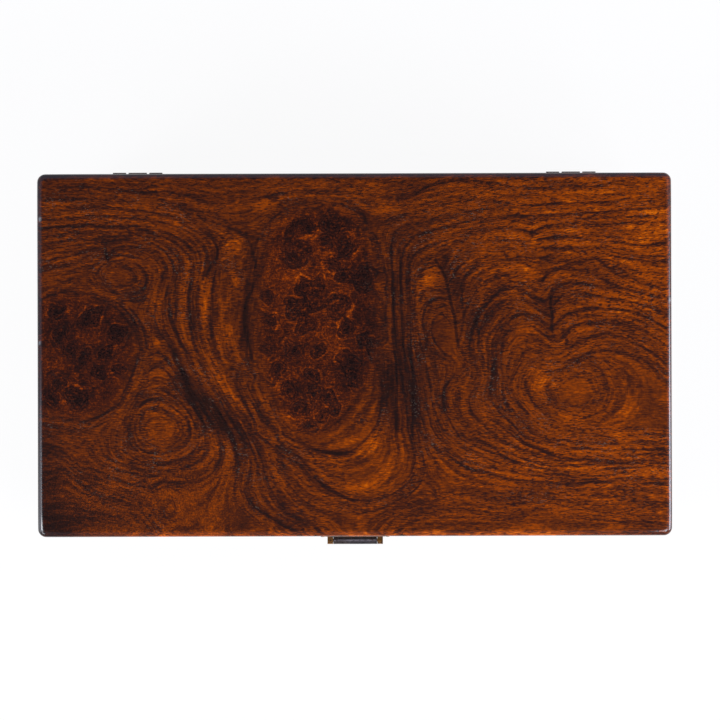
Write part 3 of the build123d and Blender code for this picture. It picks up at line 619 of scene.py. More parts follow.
# Soft darker and lighter patches: middle, half-widths, turn in degrees and how much lighter
patches = [
    # left edge and left burl
    (58, 185, 34, 15, 0, -0.3), (88, 335, 44, 34, 0, -0.12), (150, 285, 16, 20, 0, -0.15),
    (110, 252, 8, 10, 0, -0.3), (120, 330, 16, 12, 0, -0.35), (96, 312, 14, 10, 0, -0.3),
    (60, 328, 16, 14, 0, -0.2), (118, 366, 14, 12, 0, -0.2), (84, 400, 14, 8, 0, -0.3),
    (48, 470, 14, 60, 0, -0.5), (60, 522, 42, 18, 0, -0.5), (80, 215, 50, 20, 0, 0.15),
    (62, 345, 10, 8, 0, 0.15),
    # upright bands and the dark streak below them
    (180, 276, 9, 18, 0, -0.2), (205, 258, 8, 14, 0, -0.35), (195, 393, 34, 10, 50, -0.5),
    (228, 428, 26, 11, 45, -0.5), (238, 245, 10, 10, 0, 0.3), (228, 262, 8, 10, 0, 0.2),
    (240, 282, 6, 14, 0, 0.3), (206, 310, 5, 40, -4, 0.3), (183, 306, 4, 34, 0, 0.35),
    (226, 335, 8, 20, 0, 0.1), (217, 372, 7, 18, -35, 0.3), (232, 392, 7, 14, -35, 0.25),
    (262, 205, 9, 8, 0, 0.4), (155, 342, 8, 7, 0, 0.4), (172, 366, 7, 8, 0, 0.25),
    (152, 310, 8, 16, 0, 0.3), (160, 428, 19, 15, 0, 0.2), (120, 277, 15, 9, 0, 0.1),
    (150, 462, 32, 9, 0, 0.2), (160, 350, 90, 40, 0, -0.09),
    # dark wood round the middle burl
    (248, 300, 12, 70, 0, -0.35), (254, 250, 10, 26, 0, -0.2), (330, 222, 44, 9, 0, -0.3),
    (372, 268, 13, 30, 0, -0.35), (362, 330, 16, 32, 0, -0.3), (345, 378, 18, 18, 0, -0.3),
    (302, 392, 18, 12, 0, -0.2), (290, 320, 34, 22, 0, -0.12), (300, 276, 15, 7, 0, 0.35),
    (328, 262, 9, 9, 0, 0.3), (331, 247, 8, 7, 0, 0.25), (312, 238, 8, 8, 0, 0.2),
    (272, 396, 12, 9, 0, 0.25), (338, 350, 12, 10, 0, 0.15), (402, 400, 56, 80, 0, -0.12),
    # under it
    (335, 453, 30, 5, 8, -0.35), (362, 458, 24, 24, 0, 0.3), (373, 438, 9, 20, 0, 0.15),
    (368, 487, 18, 8, 0, 0.2), (340, 425, 14, 6, -30, 0.2), (385, 210, 10, 8, 0, 0.35),
    (355, 425, 20, 18, 0, -0.12), (350, 524, 300, 15, 0, -0.08),
    # upright dark wood right of it
    (400, 290, 8, 56, 0, -0.35), (412, 378, 24, 26, 0, -0.5), (388, 392, 8, 22, 0, -0.25),
    (412, 420, 16, 22, 0, -0.25), (396, 325, 24, 90, 0, -0.2), (350, 350, 40, 50, 0, -0.08),
    (225, 455, 26, 24, 0, 0.15), (410, 190, 32, 7, -14, -0.35), (380, 200, 28, 6, 0, -0.15),
    (427, 442, 9, 18, 0, -0.15),
    # right half
    (450, 275, 8, 24, -15, -0.3), (468, 322, 15, 14, 0, -0.3), (490, 308, 11, 15, 0, -0.2),
    (550, 314, 9, 21, 0, -0.4), (548, 262, 8, 14, 0, -0.15), (498, 376, 8, 20, 0, -0.12),
    (640, 375, 24, 20, 0, -0.15), (432, 272, 10, 10, 0, 0.25), (426, 288, 7, 16, 0, 0.2),
    (452, 346, 10, 8, 0, 0.25), (452, 330, 24, 44, 0, -0.18), (537, 380, 12, 12, 0, 0.25),
    (576, 388, 14, 12, 0, 0.2), (572, 419, 14, 8, 0, 0.2), (576, 325, 11, 8, 0, 0.4),
    (590, 345, 14, 8, 0, 0.2), (615, 435, 12, 8, 0, 0.35), (642, 232, 28, 16, 0, 0.4),
    (656, 213, 16, 4, 0, 0.5), (600, 200, 60, 20, 0, 0.35), (530, 228, 60, 20, 0, 0.3),
    (500, 190, 60, 14, 0, 0.15), (640, 280, 26, 50, 0, 0.2), (505, 270, 40, 14, 0, 0.12),
    (604, 302, 40, 14, 0, 0.15), (642, 470, 22, 11, 0, 0.3), (560, 462, 96, 24, 0, 0.3),
    (600, 505, 80, 26, 0, 0.1), (556, 345, 8, 8, 0, 0.3), (588, 254, 26, 15, 0, 0.2),
    (500, 366, 26, 34, 0, -0.12),
]

# Light nicks in the lacquer, painted on as small highlights on the rounded edges: middle and
# half-widths in photo pixels
nickHighlights = [(40.5, 219.5, 0.9, 1.6), (40.2, 343.0, 0.8, 1.2), (669.5, 300.0, 0.8, 1.4)]

topBoard = {
    "length": 0.400,
    "depth": 0.229,
    "cornerRadius": 0.005,
    "edgeReach": 0.0042,  # the rounded edge is a little wider than it is high
    "edgeDrop": 0.003,
    "edgeSteps": 8,
    "cornerSteps": 5,
    "top": 0.146,
    "underside": 0.137,
    "fieldUnderside": 0.135,
    "fieldLength": 0.3797,
    "fieldDepth": 0.2087,
    "spacing": 1.66,  # photo pixels between the points of the upper face
    "fieldSpacing": 8.0,  # and of the field between the rails
    "cornerWear": 0.001,  # how far the lid's corners are rubbed down, and how far in from them
    "cornerWearReach": 0.016,
    "ringsPerDepth": 220.0,  # growth lines to a metre down the board's edges
}

# How the drawn lists become soft shapes; lengths are in photo pixels.
# A shape's fall is its steepness and its power: more power gives a flatter middle.
figure = {
    "left": 30,
    "top": 166,
    "right": 680,
    "bottom": 546,
    "steps": (16, 8, 4, 2, 1),  # from one point to the next in each pass, coarse to fine
    "passes": (600, 400, 300, 200, 120),
    "growthSoftening": 6,
    "crowdingSoftening": 3,
    "outlineSoftness": 12,
    "creaseWidth": 2.6,
    "strokeWidth": 2.1,
    "wobble": (1.7, 1.4),  # how far quick and slow waves bend the eyes' outlines
    "wavesAcross": (3.1, 1.3, 7.7, 7.3, 11.9),
    "wavesDown": (3.4, 1.1, 6.9, 8.1, -10.3),
    "eyeHeight": 0.13,  # growth lines for each pixel of an eye's radius
    "eyeHeightFall": (1.1, 1.0),
    "eyeFall": (0.9, 1.5),
    "calmFall": (0.7, 1.5),
    "nickHighlightFall": (1.0, 1.0),
    "patchFall": (0.8, 1.3),
    "sideLight": 0.16,  # how much lighter the right end is than the middle
    "sideLightMiddle": 355,
    "sideLightReach": 320,
}


def stampLines(step, columns, rows):
    # each drawn line writes its number onto the points that it passes
    total = np.zeros((rows, columns))
    count = np.zeros((rows, columns))
    for ring, points in growthLines:
        for (ax, ay), (bx, by) in zip(points[:-1], points[1:]):
            t = np.linspace(0, 1, max(2, int(math.hypot(bx - ax, by - ay) / step * 2)))
            i = ((ax + (bx - ax) * t - figure["left"]) / step).round().astype(int)
            j = ((ay + (by - ay) * t - figure["top"]) / step).round().astype(int)
            passed = (np.clip(j, 0, rows - 1), np.clip(i, 0, columns - 1))
            np.add.at(total, passed, ring)
            np.add.at(count, passed, 1)
    known = count > 0
    return np.where(known, total / np.maximum(count, 1), 0.0), known


def neighbours(grid):
    p = np.pad(grid, 1, mode="edge")
    return p[:-2, 1:-1] + p[2:, 1:-1] + p[1:-1, :-2] + p[1:-1, 2:]


def soften(grid, passes):
    for _ in range(passes):
        grid = (neighbours(grid) + 2 * grid) / 6
    return grid


def lookUp(grid, x, y):
    i = np.clip(np.floor(x).astype(int), 0, grid.shape[1] - 2)
    j = np.clip(np.floor(y).astype(int), 0, grid.shape[0] - 2)
    fx = np.clip(x - i, 0, 1)
    fy = np.clip(y - j, 0, 1)
    upper = grid[j, i] * (1 - fx) + grid[j, i + 1] * fx
    lower = grid[j + 1, i] * (1 - fx) + grid[j + 1, i + 1] * fx
    return upper * (1 - fy) + lower * fy


def enlarge(grid, columns, rows):
    x = np.linspace(0, grid.shape[1] - 1, columns)[None, :]
    y = np.linspace(0, grid.shape[0] - 1, rows)[:, None]
    return lookUp(grid, x, y)


def growBoard():
    # spreads the drawn growth lines smoothly over the whole board, coarse first
    grid = None
    for step, passes in zip(figure["steps"], figure["passes"]):
        columns = int((figure["right"] - figure["left"]) / step) + 1
        rows = int((figure["bottom"] - figure["top"]) / step) + 1
        ring, known = stampLines(step, columns, rows)
        if grid is None:
            grid = np.full((rows, columns), ring[known].mean())
        else:
            grid = enlarge(grid, columns, rows)
        grid[known] = ring[known]
        for _ in range(passes):
            grid = neighbours(grid) / 4
            grid[known] = ring[known]
    return soften(grid, figure["growthSoftening"])


def awayFromLine(ax, ay, bx, by, x, y):
    length = (bx - ax) ** 2 + (by - ay) ** 2 + 1e-9
    t = np.clip(((x - ax) * (bx - ax) + (y - ay) * (by - ay)) / length, 0, 1)
    return np.hypot(x - ax - t * (bx - ax), y - ay - t * (by - ay))


def insideOutline(points, x, y, soft):
    # 1 inside a closed outline, falling to 0 over a soft border
    inside = np.zeros(x.shape, bool)
    nearest = np.full(x.shape, 1e9)
    for (ax, ay), (bx, by) in zip(points, points[1:] + points[:1]):
        inside ^= ((ay > y) != (by > y)) & (x < (bx - ax) * (y - ay) / ((by - ay) or 1e-9) + ax)
        nearest = np.minimum(nearest, awayFromLine(ax, ay, bx, by, x, y))
    t = np.clip(np.where(inside, nearest, -nearest) / soft * 0.5 + 0.5, 0, 1)
    return t * t * (3 - 2 * t)


def strokeOf(points, x, y, wide):
    # 1 along a drawn line, falling to 0 at both sides; only the part round the line is worked out
    shade = np.zeros(x.shape)
    low = np.min(points, 0) - 4 * wide
    high = np.max(points, 0) + 4 * wide
    rows = slice(max(0, int(low[1] - y[0, 0])), max(0, int(high[1] - y[0, 0])))
    columns = slice(max(0, int(low[0] - x[0, 0])), max(0, int(high[0] - x[0, 0])))
    for (ax, ay), (bx, by) in zip(points[:-1], points[1:]):
        away = awayFromLine(ax, ay, bx, by, x[rows, columns], y[rows, columns])
        shade[rows, columns] = np.maximum(shade[rows, columns], np.exp(-((away / wide) ** 2)))
    return shade


def awayFromOval(x, y, middleX, middleY, wide, high, turn=0.0):
    # squared distance from an oval's middle, which is 1 on its outline
    c, s = math.cos(math.radians(turn)), math.sin(math.radians(turn))
    along = ((x - middleX) * c + (y - middleY) * s) / wide
    across = ((y - middleY) * c - (x - middleX) * s) / high
    return along**2 + across**2


def softSpot(away, fall):
    steepness, power = fall
    return np.exp(-steepness * away**power)


def wavy(x, y, waves):
    quick, bend, bendLength, slow, slant = waves
    quickReach, slowReach = figure["wobble"]
    bent = x + quickReach * np.sin(y / quick + bend * np.sin(x / bendLength))
    return bent + slowReach * np.sin(y / slow + x / slant)


def figureGrids():
    x, y = np.meshgrid(
        np.arange(figure["left"], figure["right"] + 1, dtype=float),
        np.arange(figure["top"], figure["bottom"] + 1, dtype=float),
    )
    growth = growBoard()
    eyes = np.zeros(x.shape)
    wavyX = wavy(x, y, figure["wavesAcross"])
    wavyY = wavy(y, x, figure["wavesDown"])
    for ex, ey, radius in burlEyes:
        away = awayFromOval(wavyX, wavyY, ex, ey, radius, radius)
        growth += figure["eyeHeight"] * radius * softSpot(away, figure["eyeHeightFall"])
        eyes = np.maximum(eyes, softSpot(away, figure["eyeFall"]))
    for kx, ky, wide, high, lift in ovalKnots:
        growth += lift * np.clip(1 - awayFromOval(x, y, kx, ky, wide, high), 0, 1)
    gy, gx = np.gradient(growth)
    light = np.zeros(x.shape)
    shade = np.zeros(x.shape)
    for bright, wide, points in broadBands:
        band = bright * strokeOf(points, x, y, wide)
        light = np.maximum(light, band)
        shade = np.maximum(shade, -band)
    calm = np.zeros(x.shape)
    for *oval, amount in calmPlaces:
        calm = np.maximum(calm, amount * softSpot(awayFromOval(x, y, *oval), figure["calmFall"]))
    tint = (x - figure["sideLightMiddle"]) / figure["sideLightReach"] * figure["sideLight"]
    for *oval, lighter in patches:
        tint += lighter * softSpot(awayFromOval(x, y, *oval), figure["patchFall"])
    # light nicks that are painted highlights on the rounded edges
    nickHighlight = np.zeros(x.shape)
    for oval in nickHighlights:
        nickHighlight = np.maximum(nickHighlight, softSpot(awayFromOval(x, y, *oval), figure["nickHighlightFall"]))
    stroke = np.zeros(x.shape)
    for dark, points in darkLines:
        stroke = np.maximum(stroke, dark * strokeOf(points, x, y, figure["strokeWidth"]))
    crease = np.zeros(x.shape)
    for points in creases:
        crease = np.maximum(crease, strokeOf(points, x, y, figure["creaseWidth"]))
    burl = np.zeros(x.shape)
    for outline in burlOutlines:
        burl = np.maximum(burl, insideOutline(outline, x, y, figure["outlineSoftness"]))
    return {
        "growth": growth,
        "crowding": soften(np.hypot(gx, gy), figure["crowdingSoftening"]),  # lines to a pixel
        "burl": burl,
        "eye": eyes,
        "crease": crease,
        "stroke": stroke,
        "tint": tint,
        "nickHighlight": nickHighlight,
        "light": light - shade,
        "calm": calm,
    }


def giveFigure(mesh, grown):
    # grown says where each point reads the figure: x, y and depth below the top
    across, down = toPixels(grown[:, 0], grown[:, 1])
    for name, grid in figureGrids().items():
        values = lookUp(grid, across - figure["left"], down - figure["top"])
        if name == "growth":
            values = values + grown[:, 2] * topBoard["ringsPerDepth"]
        giveLayer(mesh, name, values)


def giveLayer(mesh, name, values):
    layer = mesh.attributes.new(name, "FLOAT", "POINT")
    layer.data.foreach_set("value", values.astype(np.float32))


def spacedLine(half, corner, spacing):
    # places from -half to half, closer together at both ends, where the corner is rounded
    middle = np.linspace(corner - half, half - corner, int(2 * (half - corner) / spacing))
    end = np.linspace(-half, corner - half, topBoard["cornerSteps"])[:-1]
    return np.concatenate([end, middle, -end[::-1]])


def roundCorner(x, y, halfX, halfY, radius):
    # bends the corners of a square grid into quarter circles
    u = np.clip((np.abs(x) - (halfX - radius)) / radius, 0, 1)
    v = np.clip((np.abs(y) - (halfY - radius)) / radius, 0, 1)
    both = (u > 0) & (v > 0)
    newX = np.sign(x) * (halfX - radius + radius * u * np.sqrt(1 - v * v / 2))
    newY = np.sign(y) * (halfY - radius + radius * v * np.sqrt(1 - u * u / 2))
    return np.where(both, newX, x), np.where(both, newY, y)


def atHeight(x, y, height):
    return np.stack([x.ravel(), y.ravel(), np.full(x.size, height)], 1)


def gridFaces(columns, rows, first, flip):
    i, j = np.meshgrid(np.arange(columns - 1), np.arange(rows - 1))
    a = (first + j * columns + i).ravel()
    quads = np.stack([a, a + 1, a + 1 + columns, a + columns], 1)
    return quads[:, ::-1] if flip else quads


def borderOf(columns, rows, first):
    # the outer points of a grid, once round against the clock as seen from above
    index = first + np.arange(columns * rows).reshape(rows, columns)
    return np.concatenate([index[0, :-1], index[:-1, -1], index[-1, :0:-1], index[:0:-1, 0]])


def edgeLevels(b):
    # how far out and how high each ring of the rounded edge and the side lies
    for step in range(1, b["edgeSteps"] + 1):
        a = math.pi / 2 * step / b["edgeSteps"]
        yield b["edgeReach"] * math.sin(a), b["top"] - b["edgeDrop"] * (1 - math.cos(a))
    yield b["edgeReach"], b["underside"]


def makeTopBoard():
    b = topBoard
    px = photo["pixel"]
    sheets, rounded, faces = [], [], []

    def addSheet(points, how):
        # how rounded it is, from 0 on the flat faces to 1 at the outside
        first = sum(map(len, sheets))
        sheets.append(points)
        rounded.append(np.full(len(points), how))
        return first

    # the upper face
    flat = np.array([b["length"], b["depth"]]) / 2 - b["edgeReach"]
    corner = b["cornerRadius"] - b["edgeReach"]
    xs, ys = (spacedLine(half, corner, b["spacing"] * px) for half in flat)
    upperFace = atHeight(*roundCorner(*np.meshgrid(xs, ys), *flat, corner), b["top"])
    faces.append(gridFaces(len(xs), len(ys), addSheet(upperFace, 0.0), False))
    # the rounded edge and the side, ring by ring outwards
    rim = borderOf(len(xs), len(ys), 0)
    edge = upperFace[rim, :2]
    out = edge - np.sign(edge) * np.minimum(np.abs(edge), flat - corner)
    out /= np.linalg.norm(out, axis=1)[:, None]
    for reach, height in edgeLevels(b):
        x, y = (edge + out * reach).T
        first = addSheet(atHeight(x, y, height), reach / b["edgeReach"])
        ring = np.arange(first, first + len(edge))
        faces.append(np.stack([rim, ring, np.roll(ring, -1), np.roll(rim, -1)], 1))
        rim = ring
    # the field inside the rails, and its shoulder
    field = (b["fieldLength"] / 2, b["fieldDepth"] / 2)
    xs, ys = (np.linspace(-half, half, int(2 * half / px / b["fieldSpacing"])) for half in field)
    lowerFace = atHeight(*np.meshgrid(xs, ys), b["fieldUnderside"])
    first = addSheet(lowerFace, 0.0)
    faces.append(gridFaces(len(xs), len(ys), first, True))
    border = borderOf(len(xs), len(ys), first)
    x, y = lowerFace[border - first, :2].T
    first = addSheet(atHeight(x, y, b["underside"]), 0.0)
    shoulder = np.arange(first, first + len(border))
    ring = [border, shoulder, np.roll(shoulder, -1), np.roll(border, -1)]
    faces.append(np.stack(ring, 1))

    points = np.concatenate(sheets)
    grown = points.copy()
    grown[:, 2] = b["top"] - grown[:, 2]
    x, y, z = points.T
    away = np.hypot(b["length"] / 2 - np.abs(x), b["depth"] / 2 - np.abs(y))
    rubbed = np.clip(1 - away / b["cornerWearReach"], 0, 1) ** 2
    points[:, 2] -= b["cornerWear"] * rubbed * (z > b["top"] - b["edgeDrop"] - 1e-6)
    mesh = bpy.data.meshes.new("top_board")
    mesh.from_pydata(points.tolist(), [], np.concatenate(faces).tolist())
    bridgeLoops(mesh, rim, shoulder)
    giveFigure(mesh, grown)
    giveLayer(mesh, "rounded", np.concatenate(rounded))
    mesh.validate()
    return newObject(mesh)


def bridgeLoops(mesh, outer, inner):
    # the flat ring of the underside that lies on the rails
    shape = bmesh.new()
    shape.from_mesh(mesh)
    shape.verts.ensure_lookup_table()
    edges = []
    for loop in (outer, inner):
        for a, c in zip(loop, np.roll(loop, -1)):
            edges.append(shape.edges.get((shape.verts[a], shape.verts[c])))
    bmesh.ops.bridge_loops(shape, edges=edges)
    bmesh.ops.recalc_face_normals(shape, faces=shape.faces)
    shape.to_mesh(mesh)
    shape.free()


# Lengths are in photo pixels, and places count from the lid's middle. Two numbers are where a
# thing starts and ends, or its values outside and inside the burls. Four are where it starts
# and ends, and its first and last value.
topWood = {
    "level": 0.553,
    "colours": [
        (0.0, (20, 12, 10)),
        (0.22, (40, 20, 14)),
        (0.42, (70, 30, 14)),
        (0.6, (104, 44, 9)),
        (0.8, (150, 64, 3)),
        (1.0, (206, 100, 6)),
    ],
    # how the figure sways: broadly, and finely outside and inside the burls
    "broad": 20,
    "broadSway": 4.0,
    "small": 6,
    "smallSway": (1.3, 5.0),
    "leastCrowding": (0.035, 0.11),
    # the main growth lines
    "lineWidth": 2.4,
    "lineShade": 0.5,
    "lineLength": 30,
    "lineChange": 3.7,
    "linePresence": (0.36, 0.62, 0.15, 1.0),
    "lineInBurl": 0.6,
    "lineCrowding": (0.012, 0.045),
    "lineInLight": (0, 0.8, 1.0, 0.25),
    "lineStrength": 0.11,
    "strokeTear": -0.9,
    "strokeSpan": (0.3, 0.95),
    "strokeStrength": 0.155,
    "bandStrength": 0.13,
    # noise along the growth lines: across and along them, and a seed
    "grainShift": 0.37,
    "fineLines": (4.2, 46, 0.0),
    "fineStrength": 0.35,
    "crispSpan": (0.4, 0.6),
    "crispStrength": (0.09, 0.06),
    "crispWhereCalm": 0.3,
    "fibres": (2.0, 8, 5.3),
    "fibreStrength": 0.4,
    # noise along the board: its length and width, a seed and its detail
    "ripples": (7, 1.3, 0.0, 1),
    "rippleStrength": 0.72,
    "rippleSpan": (-0.12, 0.1),
    "rippleLeast": 0.45,
    "pores": (4.6, 0.85, 3.1, 1),
    "poreSpan": (0.54, 0.62),
    "poreCover": (0.85, 0.6),
    "poreCrowding": (0.01, 0.04, 0.35, 1.0),
    "poreInLine": 0.09,
    "poreBetween": 0.25,
    "poreColour": (32, 19, 17),
    # light specks in the pores: dust, and painted glints of light off the pores
    "dustAndGlints": (1.8, 0.9, 9.7, 0),
    "dustAndGlintSpan": (0.68, 0.78),
    "dustAndGlintsGathered": 0.3,
    "dustAndGlintPatches": 26,
    "dustAndGlintCover": (0.45, 0.68, 0.03, 0.4),
    "dustAndGlintCrowding": (0.03, 0.08),
    "dustAndGlintsInBurl": 0.3,
    "dustAndGlintColour": (112, 100, 86),
    "uphill": 0.09,  # they climb towards the far right corner
    "uphillFrom": 20.0,
    "uphillSpan": 120,
    # the stippled end grain near the front left corner
    "stipple": 1.5,
    "stippleStrength": 0.6,
    "stippleAcross": (-150, -40),
    "stippleUp": (-130, -80),
    "rippleInStipple": 0.4,
    # patches
    "blotches": 34,
    "blotchStrength": 0.18,
    "mottle": 2.6,
    "mottleStrength": (0.25, 0.4),
    "tintStrength": 0.35,
    "creaseTear": 0.7,
    "creaseSpan": (0.5, 0.95),
    "creaseStrength": 0.26,
    # the burls
    "burlStrength": 0.085,
    "burlRed": (232, 212, 212),
    "burlRedPart": 0.7,
    "burlGrey": (56, 34, 31),
    "burlGreyPart": 0.08,
    "eyeSpan": (0.3, 0.55),
    "eyeStrength": 0.09,
    "rimAt": 0.4,
    "rimWidth": (0.02, 0.12),
    "rimGaps": (-0.06, 0.08),
    "rimStrength": 0.14,
    "pupilSpan": (0.95, 0.99),
    "pupilStrength": 0.15,
    "freckles": 2.0,
    "freckleStrength": 0.8,
    "freckleOutside": 0.4,
    "eyeRings": 21.0,
    "eyeRingsBent": 14.0,
    "eyeRingsFrom": (0.06, 0.25),
    "eyeRingsTo": (0.75, 0.95, 0.09, 0.0),
    "flowFrom": (0.03, 0.14),
    "flowTo": (0.16, 0.3),
    "flowStrength": (-0.06, 0.1, 0.0, 0.22),
    "curls": 12,
    "curlBend": 0.8,
    "curlTone": (0.0, 0.045, 0.14, 0.0),
    "curlOutside": (0.15, 0.5, 1.0, 0.1),
    "whorls": 4.4,
    "whorlBend": 1.0,
    "whorlTone": (0.0, 0.07, 0.125, -0.08),
    # wear with painted light, stains with painted shade, and nicks with painted highlights
    "frontWearAndLight": 9.0,
    "frontWearAndLightLeft": (-290, -180),
    "frontWearAndLightRight": (200, 245),
    "rightWearAndLight": 7.0,
    "rightWearAndLightRounded": (0.4, 0.8, 0.6, 0.0),
    "wearStrength": 0.3,
    "wearPatches": (-0.14, 0.06, 0.2, 1.0),
    "edgeStainAndShade": 7.0,
    "rightStainAndShade": (5.0, 2.0, 0.7),  # where it starts and ends, in from the edge, and its part
    "stainAndShadeStrength": 0.3,
    "nickHighlightColour": (158, 164, 164),
    # lacquer
    "roughness": 0.28,
    "fineRoughness": 0.12,
    "fibreHeight": 0.25,
    "bumpStrength": 0.2,
    "bumpDepth": 0.00005,
    "gloss": {
        "Specular IOR Level": 0.06,
        "Coat Weight": 0.8,
        "Coat Roughness": 0.05,
        "Coat IOR": 1.5,
    },
}


def grainNoise(tree, point, growth, crowding, settings):
    # noise drawn out along the growth lines, equally fine where they crowd and where they spread
    pitch, along, seed = settings
    wanted = calc(tree, "LOGARITHM", calc(tree, "DIVIDE", 1.0 / pitch, crowding), 2.0)
    whole = calc(tree, "FLOOR", wanted)
    x, y = split(tree, vectorCalc(tree, "SCALE", point, scale=1.0 / along))[:2]
    layers = []
    for extra in (0.0, 1.0):
        rate = calc(tree, "POWER", 2.0, calc(tree, "ADD", whole, extra))
        aside = addTo(tree, y, rate, topWood["grainShift"])
        place = join(tree, calc(tree, "ADD", x, seed), aside, times(tree, growth, rate))
        layers.append(noise(tree, place, 1.0, 2, 0.55))
    values = {0: minus(tree, wanted, whole), 2: layers[0], 3: layers[1]}
    return addNode(tree, "ShaderNodeMix", values, data_type="FLOAT").outputs[0]


def boardNoise(tree, place, settings):
    # noise drawn out along the board
    length, width, seed, detail = settings
    scales = (1 / length, 1 / width, 1 / length)
    return noise(tree, stretch(tree, place, scales, (seed, 0.0, 0.0)), 1.0, detail, 0.5)


def burlFigure(tree, point, tone, burl, eye, broad, small):
    # each eye is a darker, freckled disc with a thin dark rim, and light wood flows between them
    t = topWood
    disc = remap(tree, eye, *t["eyeSpan"])
    rim = fade(tree, farFrom(tree, eye, t["rimAt"]), *t["rimWidth"])
    rim = times(tree, rim, remap(tree, small, *t["rimGaps"]))
    shade = times(tree, remap(tree, eye, *t["pupilSpan"]), t["pupilStrength"])
    shade = addTo(tree, shade, rim, t["rimStrength"])
    shade = addTo(tree, shade, disc, t["eyeStrength"])
    freckled = minus(tree, 0.5, noise(tree, point, 1 / t["freckles"], 1, 0.5))
    freckled = times(tree, freckled, t["freckleStrength"])
    shade = addTo(tree, shade, within(tree, disc, t["freckleOutside"], 1.0), freckled)
    turns = calc(tree, "SINE", addTo(tree, times(tree, small, t["eyeRingsBent"]), eye, t["eyeRings"]))
    ringed = times(tree, remap(tree, eye, *t["eyeRingsFrom"]), remap(tree, eye, *t["eyeRingsTo"]))
    shade = addTo(tree, shade, turns, ringed)
    tone = minus(tree, tone, times(tree, shade, burl))
    flow = times(tree, remap(tree, eye, *t["flowFrom"]), fade(tree, eye, *t["flowTo"]))
    flow = times(tree, flow, remap(tree, broad, *t["flowStrength"]))
    tone = addTo(tree, tone, flow, burl)
    curls = noise(tree, point, 1 / t["curls"], 2, 0.5, t["curlBend"])
    curls = remap(tree, farFrom(tree, curls, 0.5), *t["curlTone"])
    tone = addTo(tree, tone, curls, times(tree, burl, remap(tree, eye, *t["curlOutside"])))
    # fine whorls, all over the burls
    whorls = noise(tree, point, 1 / t["whorls"], 1, 0.5, t["whorlBend"])
    return addTo(tree, tone, remap(tree, farFrom(tree, whorls, 0.5), *t["whorlTone"]), burl)


def boardEdges(tree, tone, x, y, broad):
    # lighter rubbed edges, partly wear and partly painted light, the front one most and the right one
    # a little; darker edges at the left, back and right, partly stain and partly painted shade
    t = topWood
    front = topBoard["depth"] / 2 / photo["pixel"]
    right = topBoard["length"] / 2 / photo["pixel"]
    frontWearAndLight = fade(tree, y, -front, t["frontWearAndLight"] - front)
    handled = times(tree, remap(tree, x, *t["frontWearAndLightLeft"]), fade(tree, x, *t["frontWearAndLightRight"]))
    frontWearAndLight = times(tree, frontWearAndLight, handled)
    rightWearAndLight = remap(tree, x, right - t["rightWearAndLight"], right)
    onTop = remap(tree, attribute(tree, "rounded"), *t["rightWearAndLightRounded"])
    wornAndLit = largest(tree, frontWearAndLight, times(tree, rightWearAndLight, onTop))
    wornAndLit = times(tree, wornAndLit, t["wearStrength"], remap(tree, broad, *t["wearPatches"]))
    # painted light, with wear, on the front edge and the right end's upper rounding
    tone = calc(tree, "ADD", tone, wornAndLit)
    # painted shade, with stain, along the left, back and right edges
    leftStainAndShade = fade(tree, x, -right, t["edgeStainAndShade"] - right)
    backStainAndShade = remap(tree, y, front - t["edgeStainAndShade"], front)
    start, end, strength = t["rightStainAndShade"]
    rightStainAndShade = times(tree, remap(tree, x, right - start, right - end), strength)
    stainedAndShaded = largest(tree, leftStainAndShade, backStainAndShade, rightStainAndShade)
    return addTo(tree, tone, stainedAndShaded, -t["stainAndShadeStrength"])


